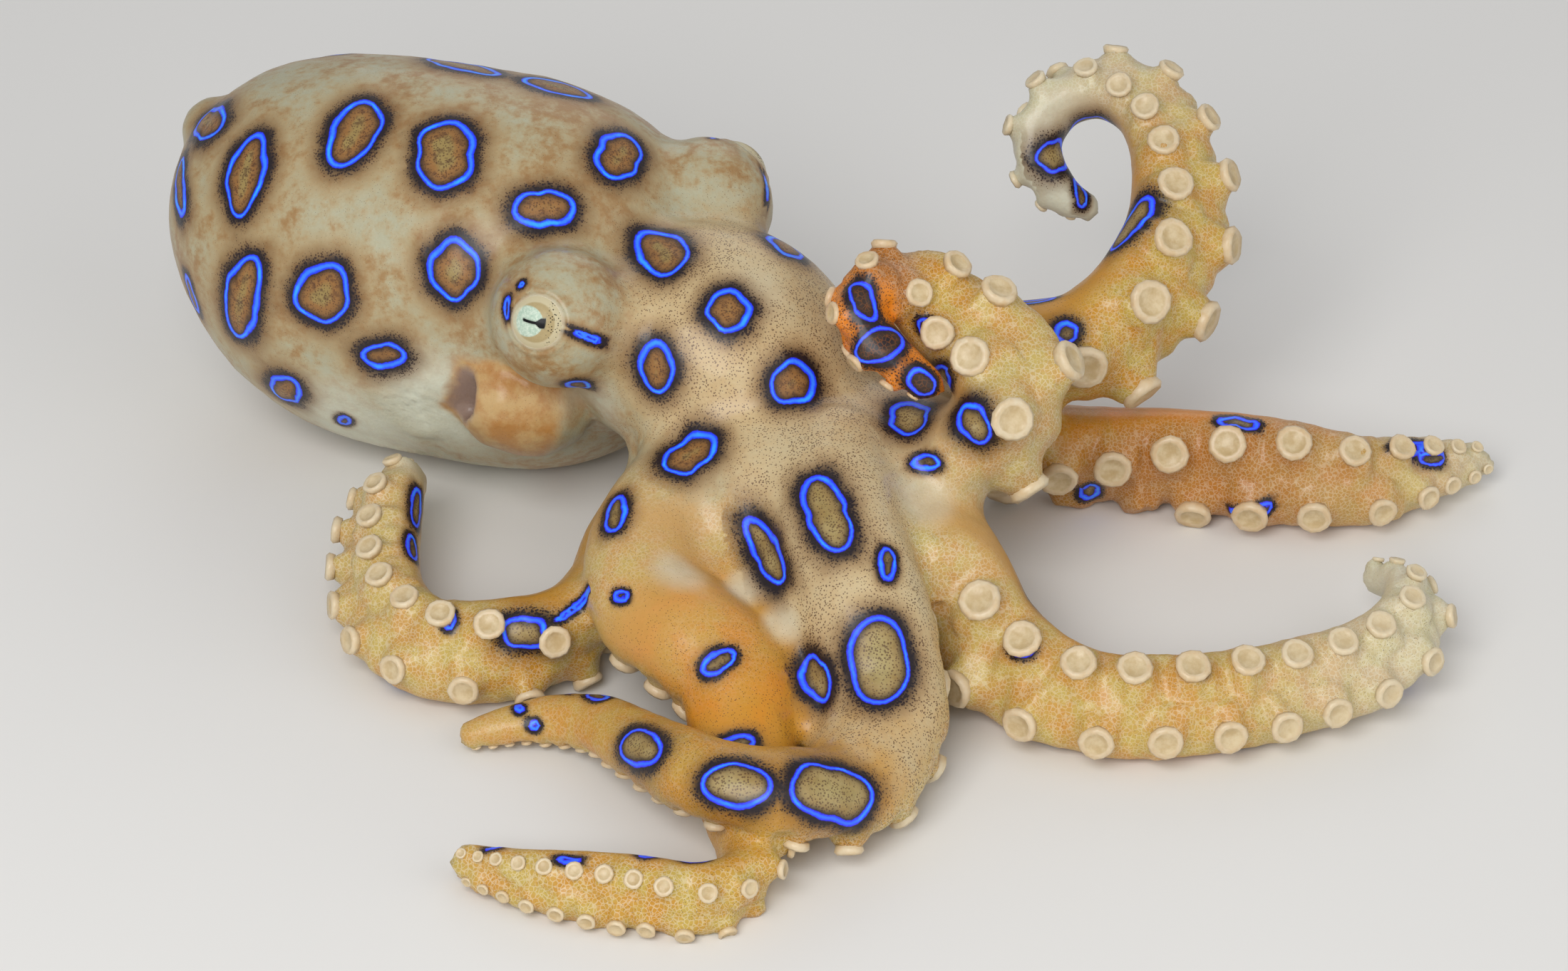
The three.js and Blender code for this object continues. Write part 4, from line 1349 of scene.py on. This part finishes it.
class OCTOPUS_OT_suckers(bpy.types.Operator):
    """Set the cupped suckers on their stalks"""

    bl_idname = "octopus.suckers"
    bl_label = "Suckers"

    def execute(self, context):
        settings = context.scene.octopus_suckers
        tree = surface(bpy.data.objects["skin"])
        places, shades = [], []
        for foot, out, along, r, arm, s in sucker_places():
            foot = foot + out * SUCKER["rise"] * r
            start, reach = Vector(foot + out * r), SUCKER["probe"] * r
            top, way, face, far = tree.ray_cast(start, Vector(-out), reach)
            foot = foot if top is None else np.array(top) + out * SUCKER["seat"]
            rim = foot + out * SUCKER["cup"] * r
            hit, way, face, far = tree.find_nearest(Vector(rim))
            buried = (Vector(rim) - hit).dot(way) < SUCKER["buried"] * r
            if rim[2] < SUCKER["off_floor"] or buried:
                continue
            places.append((foot, out, along, r, r))
            steps = np.linspace(0, 1, len(ARM_TONES[arm][0]))
            shades.append([np.interp(s, steps, row) for row in ARM_TONES[arm][:2]])
        cup = turned(CUP_OUTLINE, SUCKER["sides"])
        cups = stamp("suckers", cup, places, settings.waviness)
        lift_to_floor(cups)
        rim = np.tile(np.repeat(CUP_RIM, SUCKER["sides"]), len(places))
        warm, pale = np.repeat(np.array(shades).T, len(cup[0]), axis=1)
        write(cups, cup=rim, warm=warm, pale=pale)
        paint(cups, sucker_material(settings))
        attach(cups, "root")
        return {"FINISHED"}


class OCTOPUS_OT_eyes(bpy.types.Operator):
    """Set the two eyes in their lids"""

    bl_idname = "octopus.eyes"
    bl_label = "Eyes"

    def execute(self, context):
        made = eye_material(context.scene.octopus_eyes)
        for name, side in (("eye_right", -1), ("eye_left", 1)):
            low, high = (np.array(corner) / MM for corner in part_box(name))
            radius = (high - low)[0] / 2
            middle = (low + high) / 2
            axis = unit(middle - eye_place(side, 0))
            level = unit(np.cross(UP, axis)) * -side
            upright = np.cross(axis, level) * -side
            turn = radius * np.stack([level * -side, upright, axis])
            eye = ball(f"{name}_ball", *BALLS["eye"], lambda p, at=middle, t=turn: at + p @ t)
            offset = coordinates(eye) - middle
            write(eye, across=offset @ level, up=offset @ upright)
            paint(eye, made)
            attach(eye, "root")
            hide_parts(name)
        return {"FINISHED"}


class OCTOPUS_OT_stage(bpy.types.Operator):
    """Lay the floor and set the lights and the camera"""

    bl_idname = "octopus.stage"
    bl_label = "Stage"

    def execute(self, context):
        settings = context.scene.octopus_stage
        bpy.ops.object.select_all(action="DESELECT")
        bpy.ops.mesh.primitive_plane_add(size=FLOOR_SIZE)
        floor = bpy.context.object
        floor.name = floor.data.name = "floor"
        paint(floor, floor_material(settings))
        back = np.array([0, -math.cos(settings.elevation), math.sin(settings.elevation)])
        bpy.ops.object.camera_add(
            location=TARGET * MM + back * settings.distance,
            rotation=Vector(back).to_track_quat("Z", "Y").to_euler())
        camera = bpy.context.object
        camera.data.lens, camera.data.sensor_width = LENS, SENSOR
        context.scene.camera = camera
        for name, (spot, power, size) in LAMPS.items():
            way = Vector(spot).to_track_quat("Z", "Y").to_euler()
            bpy.ops.object.light_add(type="AREA", location=spot, rotation=way)
            lamp = bpy.context.object
            lamp.name = name
            lamp.data.energy, lamp.data.size = power * settings.key_power, size
        world = bpy.data.worlds.new("studio")
        world.use_nodes = True
        background = world.node_tree.nodes["Background"]
        background.inputs["Color"].default_value = (*tint(*SKY), 1)
        background.inputs["Strength"].default_value = SKY_STRENGTH
        context.scene.world = world
        context.scene.view_settings.view_transform = "Standard"
        return {"FINISHED"}


class OCTOPUS_PT_panel(bpy.types.Panel):
    """Lists the steps that build the octopus"""

    bl_idname = "OCTOPUS_PT_panel"
    bl_label = "Octopus"
    bl_space_type = "VIEW_3D"
    bl_region_type = "UI"
    bl_category = "Octopus"

    def draw(self, context):
        for step in STEPS:
            self.layout.operator(step.bl_idname)


GROUPS = {
    "octopus_skin": SkinSettings, "octopus_suckers": SuckerSettings,
    "octopus_eyes": EyeSettings, "octopus_stage": StageSettings,
}
STEPS = (OCTOPUS_OT_skin, OCTOPUS_OT_suckers, OCTOPUS_OT_eyes, OCTOPUS_OT_stage)


def register():
    for made in (*GROUPS.values(), *STEPS, OCTOPUS_PT_panel):
        bpy.utils.register_class(made)
    for name, made in GROUPS.items():
        setattr(bpy.types.Scene, name, PointerProperty(type=made))


def unregister():
    for name in GROUPS:
        delattr(bpy.types.Scene, name)
    for made in (OCTOPUS_PT_panel, *STEPS[::-1], *GROUPS.values()):
        bpy.utils.unregister_class(made)


def main():
    register()
    bpy.ops.octopus.skin()
    bpy.ops.octopus.suckers()
    bpy.ops.octopus.eyes()
    bpy.ops.octopus.stage()


if __name__ == "__main__":
    main()
